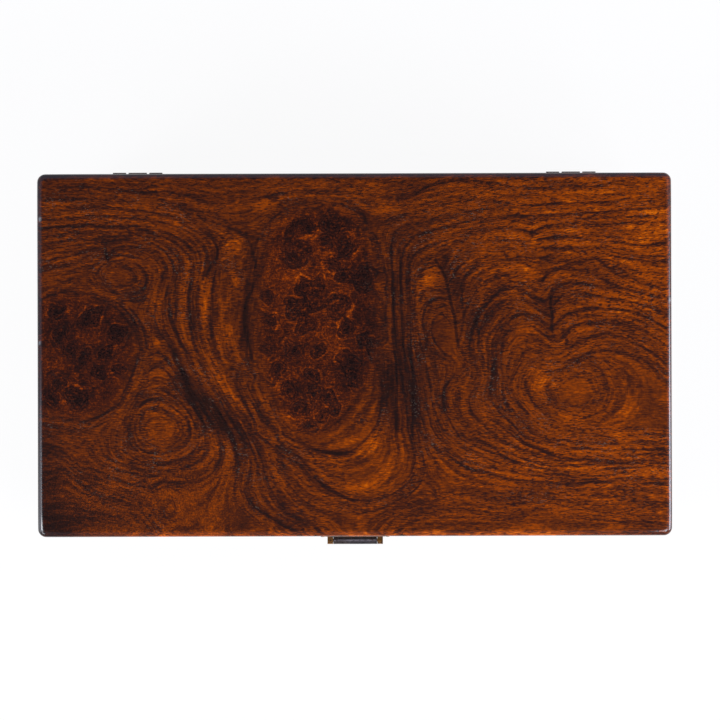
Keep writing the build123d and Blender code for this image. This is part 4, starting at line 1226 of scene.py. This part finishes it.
def makeTopWood():
    t = topWood
    made, tree = newMaterial("burl_top_wood")
    point = vectorCalc(tree, "SCALE", objectPlace(tree), scale=1.0 / photo["pixel"])
    x, y, z = split(tree, point)
    burl = attribute(tree, "burl")
    light = attribute(tree, "light")
    crowding = attribute(tree, "crowding")
    lineRate = largest(tree, crowding, within(tree, burl, *t["leastCrowding"]))
    broad = minus(tree, noise(tree, point, 1 / t["broad"], 2, 0.5), 0.5)
    small = minus(tree, noise(tree, point, 1 / t["small"], 2, 0.6), 0.5)
    sway = times(tree, small, within(tree, burl, *t["smallSway"]))
    sway = addTo(tree, sway, broad, t["broadSway"])
    growth = addTo(tree, attribute(tree, "growth"), sway, lineRate)

    # the dark growth lines: a soft core, and shade that builds up on one side
    part = calc(tree, "FRACT", growth)
    near = calc(tree, "MINIMUM", part, minus(tree, 1.0, part))
    core = fade(tree, calc(tree, "DIVIDE", near, lineRate), 0.0, t["lineWidth"])
    line = addTo(tree, core, calc(tree, "POWER", part, 3.0), t["lineShade"])
    slowX, slowY = split(tree, vectorCalc(tree, "SCALE", point, scale=1 / t["lineLength"]))[:2]
    lineSpot = join(tree, slowX, slowY, times(tree, calc(tree, "ROUND", growth), t["lineChange"]))
    line = times(
        tree,
        line,
        remap(tree, noise(tree, lineSpot, 1.0, 3, 0.6), *t["linePresence"]),
        within(tree, burl, 1.0, t["lineInBurl"]),
        remap(tree, crowding, *t["lineCrowding"]),
    )

    # fibres and pores run the length of the board, across the growth lines too
    uphill = largest(tree, minus(tree, x, t["uphillFrom"]), 0.0)
    uphill = times(tree, uphill, remap(tree, y, 0, t["uphillSpan"], 0.0, t["uphill"]))
    along = join(tree, x, minus(tree, y, uphill), z)
    fineLines = grainNoise(tree, point, growth, lineRate, t["fineLines"])
    fibres = grainNoise(tree, point, growth, lineRate, t["fibres"])
    mottle = noise(tree, point, 1 / t["mottle"], 2, 0.6)
    endGrain = times(tree, fade(tree, x, *t["stippleAcross"]), fade(tree, y, *t["stippleUp"]))
    lively = minus(tree, 1.0, attribute(tree, "calm"))
    crisp = within(tree, burl, *t["crispStrength"])
    crisp = times(tree, crisp, within(tree, lively, t["crispWhereCalm"], 1.0))
    strong = t["rippleStrength"]
    rippled = remap(tree, broad, *t["rippleSpan"], t["rippleLeast"] * strong, strong)
    rippled = times(tree, rippled, within(tree, endGrain, 1.0, t["rippleInStipple"]))
    stippled = times(tree, endGrain, t["stippleStrength"])
    tone = t["level"]
    for layer, strength in (
        (fineLines, t["fineStrength"]),
        (remap(tree, fineLines, *t["crispSpan"]), crisp),
        (fibres, t["fibreStrength"]),
        (boardNoise(tree, along, t["ripples"]), rippled),
        (noise(tree, point, 1 / t["stipple"], 1, 0.5), stippled),
        (noise(tree, point, 1 / t["blotches"], 3, 0.6), t["blotchStrength"]),
        (mottle, within(tree, burl, *t["mottleStrength"])),
    ):
        tone = addNoise(tree, tone, layer, strength)

    line = times(tree, line, remap(tree, light, *t["lineInLight"]), lively)
    drawn = addNoise(tree, attribute(tree, "stroke"), fineLines, t["strokeTear"])
    drawn = times(tree, remap(tree, drawn, *t["strokeSpan"]), lively)
    for layer, strength in (
        (line, -t["lineStrength"]),
        (light, t["bandStrength"]),
        (drawn, -t["strokeStrength"]),
        (burl, -t["burlStrength"]),
    ):
        tone = addTo(tree, tone, layer, strength)
    tone = burlFigure(tree, point, tone, burl, attribute(tree, "eye"), broad, small)
    tone = addTo(tree, tone, attribute(tree, "tint"), t["tintStrength"])
    torn = addNoise(tree, attribute(tree, "crease"), mottle, t["creaseTear"])
    tone = addTo(tree, tone, remap(tree, torn, *t["creaseSpan"]), -t["creaseStrength"])
    tone = boardEdges(tree, tone, x, y, broad)

    colour = ramp(tree, tone, t["colours"])
    red = blendColour(tree, 1.0, colour, rgb(t["burlRed"]), "MULTIPLY")
    colour = blendColour(tree, times(tree, burl, t["burlRedPart"]), colour, red)
    colour = blendColour(tree, times(tree, burl, t["burlGreyPart"]), colour, rgb(t["burlGrey"]))
    # pores, and the dust and painted glints in them, gather in the dark lines
    gathered = times(tree, minus(tree, 0.5, fineLines), t["poreBetween"])
    gathered = addTo(tree, gathered, largest(tree, line, drawn), t["poreInLine"])
    pores = calc(tree, "ADD", boardNoise(tree, along, t["pores"]), gathered)
    pores = times(
        tree,
        remap(tree, pores, *t["poreSpan"]),
        within(tree, burl, *t["poreCover"]),
        remap(tree, crowding, *t["poreCrowding"]),
    )
    colour = blendColour(tree, pores, colour, rgb(t["poreColour"]))
    # dust and painted glints: light specks in the pores
    dustAndGlintPlaces = remap(tree, noise(tree, point, 1 / t["dustAndGlintPatches"], 2, 0.6), *t["dustAndGlintCover"])
    dustAndGlintPlaces = times(tree, dustAndGlintPlaces, remap(tree, crowding, *t["dustAndGlintCrowding"]))
    dustAndGlints = addTo(tree, boardNoise(tree, along, t["dustAndGlints"]), gathered, t["dustAndGlintsGathered"])
    dustAndGlints = times(tree, remap(tree, dustAndGlints, *t["dustAndGlintSpan"]), dustAndGlintPlaces)
    dustAndGlints = times(tree, dustAndGlints, within(tree, burl, 1.0, t["dustAndGlintsInBurl"]))
    colour = blendColour(tree, dustAndGlints, colour, rgb(t["dustAndGlintColour"]))
    # painted highlights: light nicks on the rounded edges
    colour = blendColour(tree, attribute(tree, "nickHighlight"), colour, rgb(t["nickHighlightColour"]))
    height = minus(tree, times(tree, fibres, t["fibreHeight"]), pores)
    rough = calc(tree, "MULTIPLY_ADD", fineLines, t["fineRoughness"], t["roughness"])
    values = {"Base Color": colour, "Roughness": rough, **t["gloss"]}
    surface(tree, values, height, t["bumpStrength"], t["bumpDepth"])
    return made


# Lengths are in metres, noises in waves to a metre: along a board first, then across it
sideWood = {
    "level": 0.5,
    "ringWidth": 0.0056,
    "taper": 0.15,  # the heart of the trunk runs a little across the boards
    "wander": 0.022,
    "wanderScale": (5.0, 13.0),
    "wobble": 0.35,
    "wobbleScale": 160.0,
    "lineAt": 0.93,
    "lineWidth": 0.08,
    "lineShade": 0.6,
    "lineLength": 9.0,
    "linePresence": (0.35, 0.65, 0.25, 1.0),
    "lineStrength": 0.2,
    "streakScale": (40.0, 90.0, 4.0),
    "streakStrength": 0.75,
    "fibreScale": (90.0, 900.0),
    "fibreStrength": 0.55,
    "blotchScale": 22.0,
    "blotchStrength": 0.35,
    # rubbed where hands and tables touch it: bead crests, upright corners and the bottom edge
    "crestSpan": (0.0005, 0.0012),
    "cornerSpan": (-0.005, -0.0015),
    "footSpan": (0.0006, 0.004),
    "wearPatches": (0.38, 0.6, 0.25, 1.0),
    "wearStrength": 0.16,
    # dirt along the seam and the beads' roots
    "seamHeight": 0.1011,
    "seamSpan": (0.0003, 0.0012),
    "rootAt": 0.0058,
    "rootSpan": (0.0002, 0.001),
    "outsideSpan": (-0.0045, -0.0035),
    "dirtStrength": 0.22,
    "insideSpan": (-0.0098, -0.0094),
    "insideLift": 0.05,
    "poreScale": (260.0, 2100.0),
    "poreInLine": 0.05,
    "poreSpan": (0.57, 0.66, 0.0, 0.8),
    "poreColour": (26, 13, 12),
    "roughness": (0.27, 0.42),  # outside and inside the box
    "streakRoughness": 0.14,
    "wearRoughness": 0.1,
    "coat": (0.7, 0.08),
    "wearBare": 0.5,
    "fibreHeight": 0.3,
    "bumpStrength": 0.25,
    "bumpDepth": 0.00006,
    "gloss": {"Specular IOR Level": 0.2, "Coat Roughness": 0.08, "Coat IOR": 1.5},
    # each board: its axes along, through and across, and where the trunk's middle lies
    "boards": {
        "long": ("side_wood_long", "XYZ", (0.062, 0.052)),
        "short": ("side_wood_short", "YXZ", (0.15, 0.07)),
        "bottom": ("bottom_wood", "XZY", (-0.04, 0.03)),
    },
}


def makeBoardWood(name, axes, heart):
    w = sideWood
    made, tree = newMaterial(name)
    spot = objectPlace(tree)
    places = dict(zip("XYZ", split(tree, spot)))
    along, through, across = (places[axis] for axis in axes)

    def drawnOut(scales, detail, roughness):
        values = tuple(scales[0] if axis == axes[0] else scales[1] for axis in "XYZ")
        return noise(tree, stretch(tree, spot, values), 1.0, detail, roughness)

    # growth rings round the heart, and a dark line at the end of each
    wander = times(tree, minus(tree, drawnOut(w["wanderScale"], 2, 0.5), 0.5), w["wander"] * 2)
    deep = minus(tree, calc(tree, "ABSOLUTE", through), heart[0])
    deep = calc(tree, "ADD", addTo(tree, deep, along, w["taper"]), wander)
    high = calc(tree, "ADD", minus(tree, across, heart[1]), wander)
    radius = calc(tree, "SQRT", addTo(tree, times(tree, high, high), deep, deep))
    wobble = noise(tree, spot, w["wobbleScale"], 2, 0.5)
    growth = addTo(tree, calc(tree, "DIVIDE", radius, w["ringWidth"]), wobble, w["wobble"])
    part = calc(tree, "FRACT", growth)
    core = fade(tree, farFrom(tree, part, w["lineAt"]), 0.0, w["lineWidth"])
    line = addTo(tree, core, calc(tree, "POWER", part, 3.0), w["lineShade"])
    ringSpot = join(tree, times(tree, along, w["lineLength"]), calc(tree, "ROUND", growth), 0.0)
    line = times(tree, line, remap(tree, noise(tree, ringSpot, 1.0, 2, 0.6), *w["linePresence"]))
    streaks = (times(tree, *pair) for pair in zip((along, through, growth), w["streakScale"]))
    streaks = noise(tree, join(tree, *streaks), 1.0, 3, 0.6)
    fibres = drawnOut(w["fibreScale"], 2, 0.6)
    blotches = noise(tree, spot, w["blotchScale"], 3, 0.6)
    tone = addNoise(tree, w["level"], streaks, w["streakStrength"])
    tone = addNoise(tree, tone, fibres, w["fibreStrength"])
    tone = addNoise(tree, tone, blotches, w["blotchStrength"])
    tone = addTo(tree, tone, line, -w["lineStrength"])

    outX = minus(tree, calc(tree, "ABSOLUTE", places["X"]), topBoard["length"] / 2)
    outY = minus(tree, calc(tree, "ABSOLUTE", places["Y"]), topBoard["depth"] / 2)
    out = largest(tree, outX, outY)
    rubbed = largest(
        tree,
        remap(tree, out, *w["crestSpan"]),
        remap(tree, calc(tree, "MINIMUM", outX, outY), *w["cornerSpan"]),
        fade(tree, places["Z"], *w["footSpan"]),
    )
    rubbed = times(tree, rubbed, remap(tree, blotches, *w["wearPatches"]))
    tone = addTo(tree, tone, rubbed, w["wearStrength"])
    fromSeam = farFrom(tree, places["Z"], w["seamHeight"])
    seam = fade(tree, fromSeam, *w["seamSpan"])
    root = fade(tree, farFrom(tree, fromSeam, w["rootAt"]), *w["rootSpan"])
    dirt = times(tree, largest(tree, seam, root), remap(tree, out, *w["outsideSpan"]))
    tone = addTo(tree, tone, dirt, -w["dirtStrength"])
    inside = remap(tree, out, *w["insideSpan"], 1.0, 0.0, False)
    tone = addTo(tree, tone, inside, w["insideLift"])

    pores = addTo(tree, drawnOut(w["poreScale"], 1, 0.5), line, w["poreInLine"])
    pores = remap(tree, pores, *w["poreSpan"])
    colour = ramp(tree, tone, topWood["colours"])
    colour = blendColour(tree, pores, colour, rgb(w["poreColour"]))
    height = minus(tree, times(tree, fibres, w["fibreHeight"]), pores)
    rough = addTo(tree, within(tree, inside, *w["roughness"]), streaks, w["streakRoughness"])
    rough = addTo(tree, rough, rubbed, w["wearRoughness"])
    coat = largest(tree, inside, times(tree, rubbed, w["wearBare"]))
    coat = within(tree, coat, *w["coat"])
    values = {"Base Color": colour, "Roughness": rough, "Coat Weight": coat, **w["gloss"]}
    surface(tree, values, height, w["bumpStrength"], w["bumpDepth"])
    return made


# The finishes: colours, where patina covers the metal, roughness and metallic gloss bare and
# covered, then how strong pits, rubbed edges, grime with painted shade and the barrel's painted crown
# highlight are
brassLooks = {
    "aged_brass": dict(
        metal=(160, 110, 56), patina=(98, 64, 32), deep=(56, 37, 22), covered=(0.36, 0.6),
        rough=(0.34, 0.52), shine=0.7, pits=0.5, edges=0.6, grimeAndShade=0.8, crown=0.0,
    ),
    "dark_brass": dict(
        metal=(96, 84, 78), patina=(46, 38, 40), deep=(22, 17, 18), covered=(0.34, 0.5),
        rough=(0.38, 0.6), shine=0.25, pits=0.9, edges=0.45, grimeAndShade=0.0, crown=0.55,
    ),
    "hinge_brass": dict(
        metal=(136, 102, 64), patina=(76, 56, 38), deep=(38, 29, 23), covered=(0.36, 0.56),
        rough=(0.34, 0.55), shine=0.5, pits=0.45, edges=0.7, grimeAndShade=0.85, crown=0.0,
    ),
    "nail_brass": dict(
        metal=(206, 158, 92), patina=(112, 76, 42), deep=(48, 33, 22), covered=(0.44, 0.66),
        rough=(0.26, 0.46), shine=0.7, pits=0.3, edges=0.5, grimeAndShade=0.0, crown=0.0,
    ),
    "pin_brass": dict(
        metal=(188, 144, 88), patina=(98, 70, 42), deep=(42, 31, 22), covered=(0.42, 0.62),
        rough=(0.3, 0.5), shine=0.65, pits=0.3, edges=0.6, grimeAndShade=0.0, crown=0.0,
    ),
}

# What they share: noises in waves to a metre, places in metres
brass = {
    "patches": 90.0,
    "clouds": 420.0,
    "cloudCover": 0.5,
    "specks": 1100.0,
    "speckCover": 0.35,
    "hollows": 2300.0,
    "hollowSpan": (0.58, 0.68, 0.0),
    "pitsInPatina": 0.05,
    "scratches": (420.0, 420.0, 7000.0),
    "scratchSpan": (0.6, 0.72),
    "edgeRadius": 0.0006,
    "edgeSpan": (0.8, 0.985),
    "edgePatches": (0.35, 0.6, 0.2, 1.0),
    "deepSpecks": 0.5,
    "deepSpan": (0.52, 0.66),
    "deepOnMetal": 0.55,
    # grime and painted shade: high up under the lid, and behind at the back hinges
    "grimeAndShadeUp": (0.1335, 0.1365),
    "grimeAndShadeUpWander": 0.004,
    "grimeAndShadeBehind": (0.1176, 0.1184),
    "grimeAndShadeBehindWander": 0.001,
    "grimeAndShadeColour": (40, 26, 20),
    "grimeAndShadeGloss": 0.3,
    # the painted highlight along the hasp barrel's crown
    "crownAt": -0.1181,
    "crownWidth": (0.0002, 0.0009),
    "crownUp": (0.1296, 0.1301),
    "crownHighlightPatches": (0.4, 0.56, 0.35, 1.0),
    "crownHighlightColour": (128, 120, 124),
    "dullness": 0.15,
    "cloudHeight": 0.8,
    "scratchHeight": -0.25,
    "bumpStrength": 0.35,
    "bumpDepth": 0.00008,
}


def makeBrass(name):
    look = brassLooks[name]
    made, tree = newMaterial(name)
    spot = objectPlace(tree)
    y, z = split(tree, spot)[1:]
    patches = noise(tree, spot, brass["patches"], 3, 0.6)
    specks = noise(tree, spot, brass["specks"], 2, 0.6)
    clouds = noise(tree, spot, brass["clouds"], 2, 0.6)
    cover = addNoise(tree, patches, clouds, brass["cloudCover"])
    cover = addNoise(tree, cover, specks, brass["speckCover"])
    cover = remap(tree, cover, *look["covered"])
    # edges rubbed bright: where a rounded normal differs from the surface's own
    soft = addNode(tree, "ShaderNodeBevel", {"Radius": brass["edgeRadius"]}, samples=4).outputs[0]
    own = addNode(tree, "ShaderNodeNewGeometry").outputs["Normal"]
    values = {0: soft, 1: own}
    alike = addNode(tree, "ShaderNodeVectorMath", values, operation="DOT_PRODUCT").outputs["Value"]
    edge = remap(tree, alike, *brass["edgeSpan"], look["edges"], 0.0)
    edge = times(tree, edge, remap(tree, clouds, *brass["edgePatches"]))
    cover = calc(tree, "SUBTRACT", cover, edge, clamp=True)
    colour = blendColour(tree, cover, rgb(look["metal"]), rgb(look["patina"]))
    deep = remap(tree, addNoise(tree, clouds, specks, brass["deepSpecks"]), *brass["deepSpan"])
    deep = times(tree, deep, within(tree, cover, brass["deepOnMetal"], 1.0))
    colour = blendColour(tree, deep, colour, rgb(look["deep"]))
    pits = addTo(tree, noise(tree, spot, brass["hollows"], 1, 0.5), cover, brass["pitsInPatina"])
    pits = remap(tree, pits, *brass["hollowSpan"], look["pits"])
    colour = blendColour(tree, pits, colour, rgb(look["deep"]))
    # grime and painted shade under the lid's overhang and on the back hinges' barrels
    highUp = addTo(tree, z, patches, brass["grimeAndShadeUpWander"])
    behind = addTo(tree, y, clouds, brass["grimeAndShadeBehindWander"])
    highUp = remap(tree, highUp, *brass["grimeAndShadeUp"])
    behind = remap(tree, behind, *brass["grimeAndShadeBehind"])
    grimyAndShaded = times(tree, largest(tree, highUp, behind), look["grimeAndShade"])
    colour = blendColour(tree, grimyAndShaded, colour, rgb(brass["grimeAndShadeColour"]))
    # a painted highlight along the crown of the hasp's barrel
    crown = times(
        tree,
        fade(tree, farFrom(tree, y, brass["crownAt"]), *brass["crownWidth"]),
        remap(tree, z, *brass["crownUp"]),
        remap(tree, clouds, *brass["crownHighlightPatches"]),
        look["crown"],
    )
    colour = blendColour(tree, crown, colour, rgb(brass["crownHighlightColour"]))
    rough = within(tree, cover, *look["rough"])
    rough = addTo(tree, rough, largest(tree, pits, grimyAndShaded), brass["dullness"])
    metallic = within(tree, largest(tree, cover, pits), 1.0, look["shine"])
    metallic = times(tree, metallic, within(tree, grimyAndShaded, 1.0, brass["grimeAndShadeGloss"]))
    scratches = noise(tree, stretch(tree, spot, brass["scratches"]), 1.0, 1, 0.5)
    scratches = remap(tree, scratches, *brass["scratchSpan"])
    height = addTo(tree, times(tree, pits, -1.0), clouds, brass["cloudHeight"])
    height = addTo(tree, height, scratches, brass["scratchHeight"])
    values = {"Base Color": colour, "Roughness": rough, "Metallic": metallic}
    surface(tree, values, height, brass["bumpStrength"], brass["bumpDepth"])
    return made


board = makeTopBoard()
board.data.materials.append(makeTopWood())
for polygon in board.data.polygons:
    polygon.use_smooth = True
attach(board, "lid")
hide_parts("lid_top_board")
print("top board", len(board.data.vertices), "points", len(board.data.polygons), "faces")

woods = {kind: makeBoardWood(*settings) for kind, settings in sideWood["boards"].items()}
brasses = {name: makeBrass(name) for name in brassLooks}


def finishOf(node):
    if node == "bottom_board":
        return woods["bottom"]
    if "wall" in node or "rail" in node:
        return woods["long"] if "front" in node or "back" in node else woods["short"]
    if node in ("hasp_plate", "hasp_eye"):
        return brasses["dark_brass"]
    for part in ("pin", "nail", "hinge"):
        if part in node:
            return brasses[part + "_brass"]
    return brasses["aged_brass"]


for name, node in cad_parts.items():
    if name != "lid_top_board":
        node.data.materials.clear()
        node.data.materials.append(finishOf(name))
print("finishes on", len(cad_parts) - 1, "nodes")

nails = {
    "lockAcross": (-0.02948, -0.02074, 0.02074, 0.02948),
    "lockUp": (0.00958, 0.02304, 0.02304, 0.00958),  # from the seam, in each half of the plate
    "lockFace": -0.1157,
    "hingeFace": 0.1157,
    "hingeSides": (-0.141, 0.141),
    "hingeAcross": 0.010,
    "hingeUp": (0.0085, 0.0185),
    "dentScale": 1400.0,  # waves to a metre
    "headGrid": (15, 7),  # points round the head, and from its crown to its rim and back
    "domePart": 5 / 6,
    "shankSides": 10,
    "shankTip": 0.35,
    "sizes": (0.95, 1.0),
    "inputs": {
        "Head Radius": 0.0018,
        "Head Height": 0.0009,
        "Shank Radius": 0.0008,
        "Shank Length": 0.008,
        "Unevenness": 0.00006,
        "Seed": 7,
        "Material": brasses["nail_brass"],
    },
}


def makeNailTree():
    tree = bpy.data.node_groups.new("round_head_nails", "GeometryNodeTree")
    face = tree.interface
    face.new_socket("Geometry", in_out="INPUT", socket_type="NodeSocketGeometry")
    kinds = {"Seed": "NodeSocketInt", "Material": "NodeSocketMaterial"}
    for name in nails["inputs"]:
        kind = kinds.get(name, "NodeSocketFloat")
        face.new_socket(name, in_out="INPUT", socket_type=kind)
    face.new_socket("Geometry", in_out="OUTPUT", socket_type="NodeSocketGeometry")
    given = addNode(tree, "NodeGroupInput").outputs

    # the head is turned from a grid: round by its x, and from crown to rim and back by its y,
    # where the last row closes it flat
    around, down = nails["headGrid"]
    values = {"Size X": 1.0, "Size Y": 1.0, "Vertices X": around, "Vertices Y": down}
    sheet = addNode(tree, "GeometryNodeMeshGrid", values).outputs["Mesh"]
    spot = addNode(tree, "GeometryNodeInputPosition").outputs[0]
    u, v = split(tree, spot)[:2]
    angle = times(tree, u, 2 * math.pi)
    down = calc(tree, "ADD", v, 0.5)
    arc = calc(tree, "DIVIDE", down, nails["domePart"], clamp=True)
    arc = times(tree, arc, math.pi / 2)
    onDome = calc(tree, "LESS_THAN", down, 0.5 + nails["domePart"] / 2)
    radius = times(tree, calc(tree, "SINE", arc), given["Head Radius"], onDome)
    height = times(tree, calc(tree, "COSINE", arc), given["Head Height"], onDome)
    x = times(tree, calc(tree, "COSINE", angle), radius)
    y = times(tree, calc(tree, "SINE", angle), radius)
    values = {"Geometry": sheet, "Position": join(tree, x, y, height)}
    head = addNode(tree, "GeometryNodeSetPosition", values).outputs[0]
    values = {"Geometry": head, "Distance": 1e-6}
    head = addNode(tree, "GeometryNodeMergeByDistance", values).outputs[0]

    values = {
        "Vertices": nails["shankSides"],
        "Side Segments": 1,
        "Radius Top": times(tree, given["Shank Radius"], nails["shankTip"]),
        "Radius Bottom": given["Shank Radius"],
        "Depth": given["Shank Length"],
    }
    shank = addNode(tree, "GeometryNodeMeshCone", values).outputs["Mesh"]
    values = {"Geometry": shank, "Rotation": (math.pi, 0, 0)}
    shank = addNode(tree, "GeometryNodeTransform", values).outputs[0]
    nail = addNode(tree, "GeometryNodeJoinGeometry")
    for part in (head, shank):
        tree.links.new(part, nail.inputs[0])

    facing = addNode(
        tree, "GeometryNodeInputNamedAttribute", {"Name": "facing"}, data_type="FLOAT_VECTOR"
    ).outputs[0]
    turn = addNode(tree, "FunctionNodeAlignRotationToVector", {"Vector": facing}, axis="Z")
    smallest, biggest = nails["sizes"]
    values = {2: smallest, 3: biggest, "Seed": given["Seed"]}
    grow = addNode(tree, "FunctionNodeRandomValue", values, data_type="FLOAT")
    values = {
        "Points": given["Geometry"],
        "Instance": nail.outputs[0],
        "Rotation": turn.outputs[0],
        "Scale": grow.outputs[1],
    }
    shape = addNode(tree, "GeometryNodeInstanceOnPoints", values).outputs[0]
    # hammer marks, a little different on each
    values = {"Vector": spot, "Scale": nails["dentScale"], "Detail": 1.0}
    dents = addNode(tree, "ShaderNodeTexNoise", values).outputs["Color"]
    dents = vectorCalc(tree, "SUBTRACT", dents, (0.5, 0.5, 0.5))
    dents = vectorCalc(tree, "SCALE", dents, scale=given["Unevenness"])
    for kind, values in (
        ("RealizeInstances", {}),
        ("SetPosition", {"Offset": dents}),
        ("SetShadeSmooth", {}),
        ("SetMaterial", {"Material": given["Material"]}),
    ):
        shape = addNode(tree, "GeometryNode" + kind, {"Geometry": shape, **values}).outputs[0]
    out = addNode(tree, "NodeGroupOutput")
    tree.links.new(shape, out.inputs[0])
    return tree


def nailPlaces(upward):
    # the places of one half's nails, and which way each faces
    seam = sideWood["seamHeight"]
    places = []
    for x, up in zip(nails["lockAcross"], nails["lockUp"]):
        places.append(((x, nails["lockFace"], seam + upward * up), (0, -1, 0)))
    for side in nails["hingeSides"]:
        for x in (side - nails["hingeAcross"], side + nails["hingeAcross"]):
            for up in nails["hingeUp"]:
                places.append(((x, nails["hingeFace"], seam + upward * up), (0, 1, 0)))
    return places


def makeNails(name, body, upward, replaced):
    points = bpy.data.meshes.new(name + "_places")
    places = nailPlaces(upward)
    points.from_pydata([place for place, _ in places], [], [])
    layer = points.attributes.new("facing", "FLOAT_VECTOR", "POINT")
    layer.data.foreach_set("vector", [value for _, facing in places for value in facing])
    holder = newObject(points)
    modifier = holder.modifiers.new("nails", "NODES")
    modifier.node_group = nailTree
    for item in nailTree.interface.items_tree:
        if item.in_out == "INPUT" and item.name in nails["inputs"]:
            modifier[item.identifier] = nails["inputs"][item.name]
    ready = holder.evaluated_get(bpy.context.evaluated_depsgraph_get())
    mesh = bpy.data.meshes.new_from_object(ready)
    mesh.name = name
    holder.modifiers.remove(modifier)
    bpy.data.objects.remove(holder)
    made = newObject(mesh)
    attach(made, body)
    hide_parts(*replaced)
    print(name, len(mesh.vertices), "points")


nailTree = makeNailTree()
makeNails("lid_nails", "lid", 1, ("upper_lock_plate_nails", "lid_leaf_nails"))
makeNails("case_nails", "case", -1, ("lower_lock_plate_nails", "case_leaf_nails"))

studio = {
    "cameraHeight": 1.430,
    "cameraAside": (0.0034, -0.0033),
    "lens": 102.0,
    "floorHalf": 3.0,
    "floorColour": (0.9, 0.9, 0.9, 1),
    "floorGlow": 0.93,  # how white it is to the camera; the rest takes the shadow
    "holeInset": 0.006,
    "white": {"Color": (1, 1, 1, 1), "Strength": 1.0},
    # pale walls under a dark ceiling, and darker in front, so that nothing veils the lid
    "wall": 0.75,
    "wallTop": 0.96,
    "wallFade": 0.25,
    "ceiling": 0.02,
    "frontSpan": (-0.85, -0.35),
    "frontWall": 0.3,
    "wallColour": (216, 220, 255),
}

# Each lamp looks from its place to its target, and is like a cloth front, brightest in its middle:
# fade is the part at each side that falls off
lamps = [
    dict(
        name="left_box", place=(-1.17, -0.48, 1.02), target=(-0.2, -0.48, 0.14),
        size=(1.0, 0.4), power=4.6, fade=0.2, colour=(0.88, 0.92, 1.0),
    ),
    dict(
        name="left_low_box", place=(-1.3, -0.48, 0.42), target=(-0.2, -0.48, 0.14),
        size=(1.0, 0.7), power=4, fade=0.3, colour=(0.88, 0.92, 1.0),
    ),
    dict(
        name="right_box", place=(1.5, -0.4, 0.65), target=(0, -0.4, 0.14),
        size=(1.15, 0.8), power=28, fade=0.2, colour=(0.82, 0.86, 1.0),
    ),
    dict(
        name="left_corner_box", place=(-0.905, -0.367, 0.95), target=(-0.2, -0.11, 0.14),
        size=(0.42, 0.52), power=4.4, fade=0.45, colour=(0.92, 0.95, 1.0),
    ),
    dict(
        name="left_front_box", place=(-0.786, -0.86, 0.696), target=(-0.2, -0.11, 0.14),
        size=(0.6, 0.34), power=3.0, fade=0.45, colour=(0.92, 0.95, 1.0),
    ),
    dict(
        name="right_front_box", place=(0.66, -0.65, 0.99), target=(0.2, -0.11, 0.14),
        size=(0.65, 0.55), power=5.4, fade=0.45, colour=(0.88, 0.92, 1.0),
    ),
]


def mixShaders(tree, amount, first, second):
    values = {0: amount, 1: first.outputs[0], 2: second.outputs[0]}
    return addNode(tree, "ShaderNodeMixShader", values)


def makeFloor():
    # a hole under the box lets light onto its underside
    half = studio["floorHalf"]
    holeX = topBoard["length"] / 2 - studio["holeInset"]
    holeY = topBoard["depth"] / 2 - studio["holeInset"]
    places = []
    for x, y in ((half, half), (holeX, holeY)):
        places += [(-x, -y, 0), (x, -y, 0), (x, y, 0), (-x, y, 0)]
    mesh = bpy.data.meshes.new("floor")
    mesh.from_pydata(places, [], [(i, (i + 1) % 4, (i + 1) % 4 + 4, i + 4) for i in range(4)])
    made, tree = newMaterial("white_floor")
    path = addNode(tree, "ShaderNodeLightPath").outputs
    rays = ("Is Camera Ray", "Is Glossy Ray", "Is Transmission Ray")
    seen = times(tree, largest(tree, *(path[ray] for ray in rays)), studio["floorGlow"])
    white = addNode(tree, "ShaderNodeEmission", studio["white"])
    paper = addNode(tree, "ShaderNodeBsdfDiffuse", {"Color": studio["floorColour"]})
    under = addNode(tree, "ShaderNodeNewGeometry").outputs["Backfacing"]
    clear = addNode(tree, "ShaderNodeBsdfTransparent")
    finish(tree, "Material", mixShaders(tree, under, mixShaders(tree, seen, paper, white), clear))
    mesh.materials.append(made)
    newObject(mesh)


def makeWorld():
    world = bpy.data.worlds.new("studio")
    bpy.context.scene.world = world
    world.use_nodes = True
    tree = world.node_tree
    tree.nodes.clear()
    direction = addNode(tree, "ShaderNodeTexCoord").outputs["Generated"]
    y, z = split(tree, direction)[1:]
    top = studio["wallTop"]
    wall = remap(tree, z, top - studio["wallFade"], top, studio["wall"], studio["ceiling"])
    wall = times(tree, wall, remap(tree, y, *studio["frontSpan"], studio["frontWall"], 1.0))
    values = {"Color": rgb(studio["wallColour"]), "Strength": wall}
    shine = addNode(tree, "ShaderNodeBackground", values)
    white = addNode(tree, "ShaderNodeBackground", studio["white"])
    seen = addNode(tree, "ShaderNodeLightPath").outputs["Is Camera Ray"]
    finish(tree, "World", mixShaders(tree, seen, shine, white))


def addLamp(settings):
    data = bpy.data.lights.new(settings["name"], "AREA")
    data.shape = "RECTANGLE"
    data.size, data.size_y = settings["size"]
    data.energy = settings["power"]
    data.color = settings["colour"]
    data.use_nodes = True
    tree = data.node_tree
    tree.nodes.clear()
    strength = 1.0 / (1.0 - settings["fade"]) ** 2
    spot = addNode(tree, "ShaderNodeNewGeometry").outputs["Parametric"]
    for part in split(tree, spot)[:2]:
        inward = calc(tree, "MINIMUM", part, minus(tree, 1.0, part))
        strength = times(tree, remap(tree, inward, 0.0, settings["fade"]), strength)
    finish(tree, "Light", addNode(tree, "ShaderNodeEmission", {"Strength": strength}))
    lamp = newObject(data)
    lamp.location = settings["place"]
    view = Vector(settings["target"]) - lamp.location
    lamp.rotation_euler = view.to_track_quat("-Z", "Y").to_euler()


def makeCamera():
    data = bpy.data.cameras.new("camera")
    data.lens = studio["lens"]
    data.sensor_width = 36.0
    data.clip_start = 0.05
    camera = newObject(data)
    camera.location = (*studio["cameraAside"], studio["cameraHeight"])
    camera.rotation_euler = (0, 0, math.radians(-photo["roll"]))
    bpy.context.scene.camera = camera


makeFloor()
makeWorld()
makeCamera()
for lamp in lamps:
    addLamp(lamp)
bpy.context.scene.view_settings.view_transform = "Standard"
print("floor, world, camera and", len(lamps), "lamps")
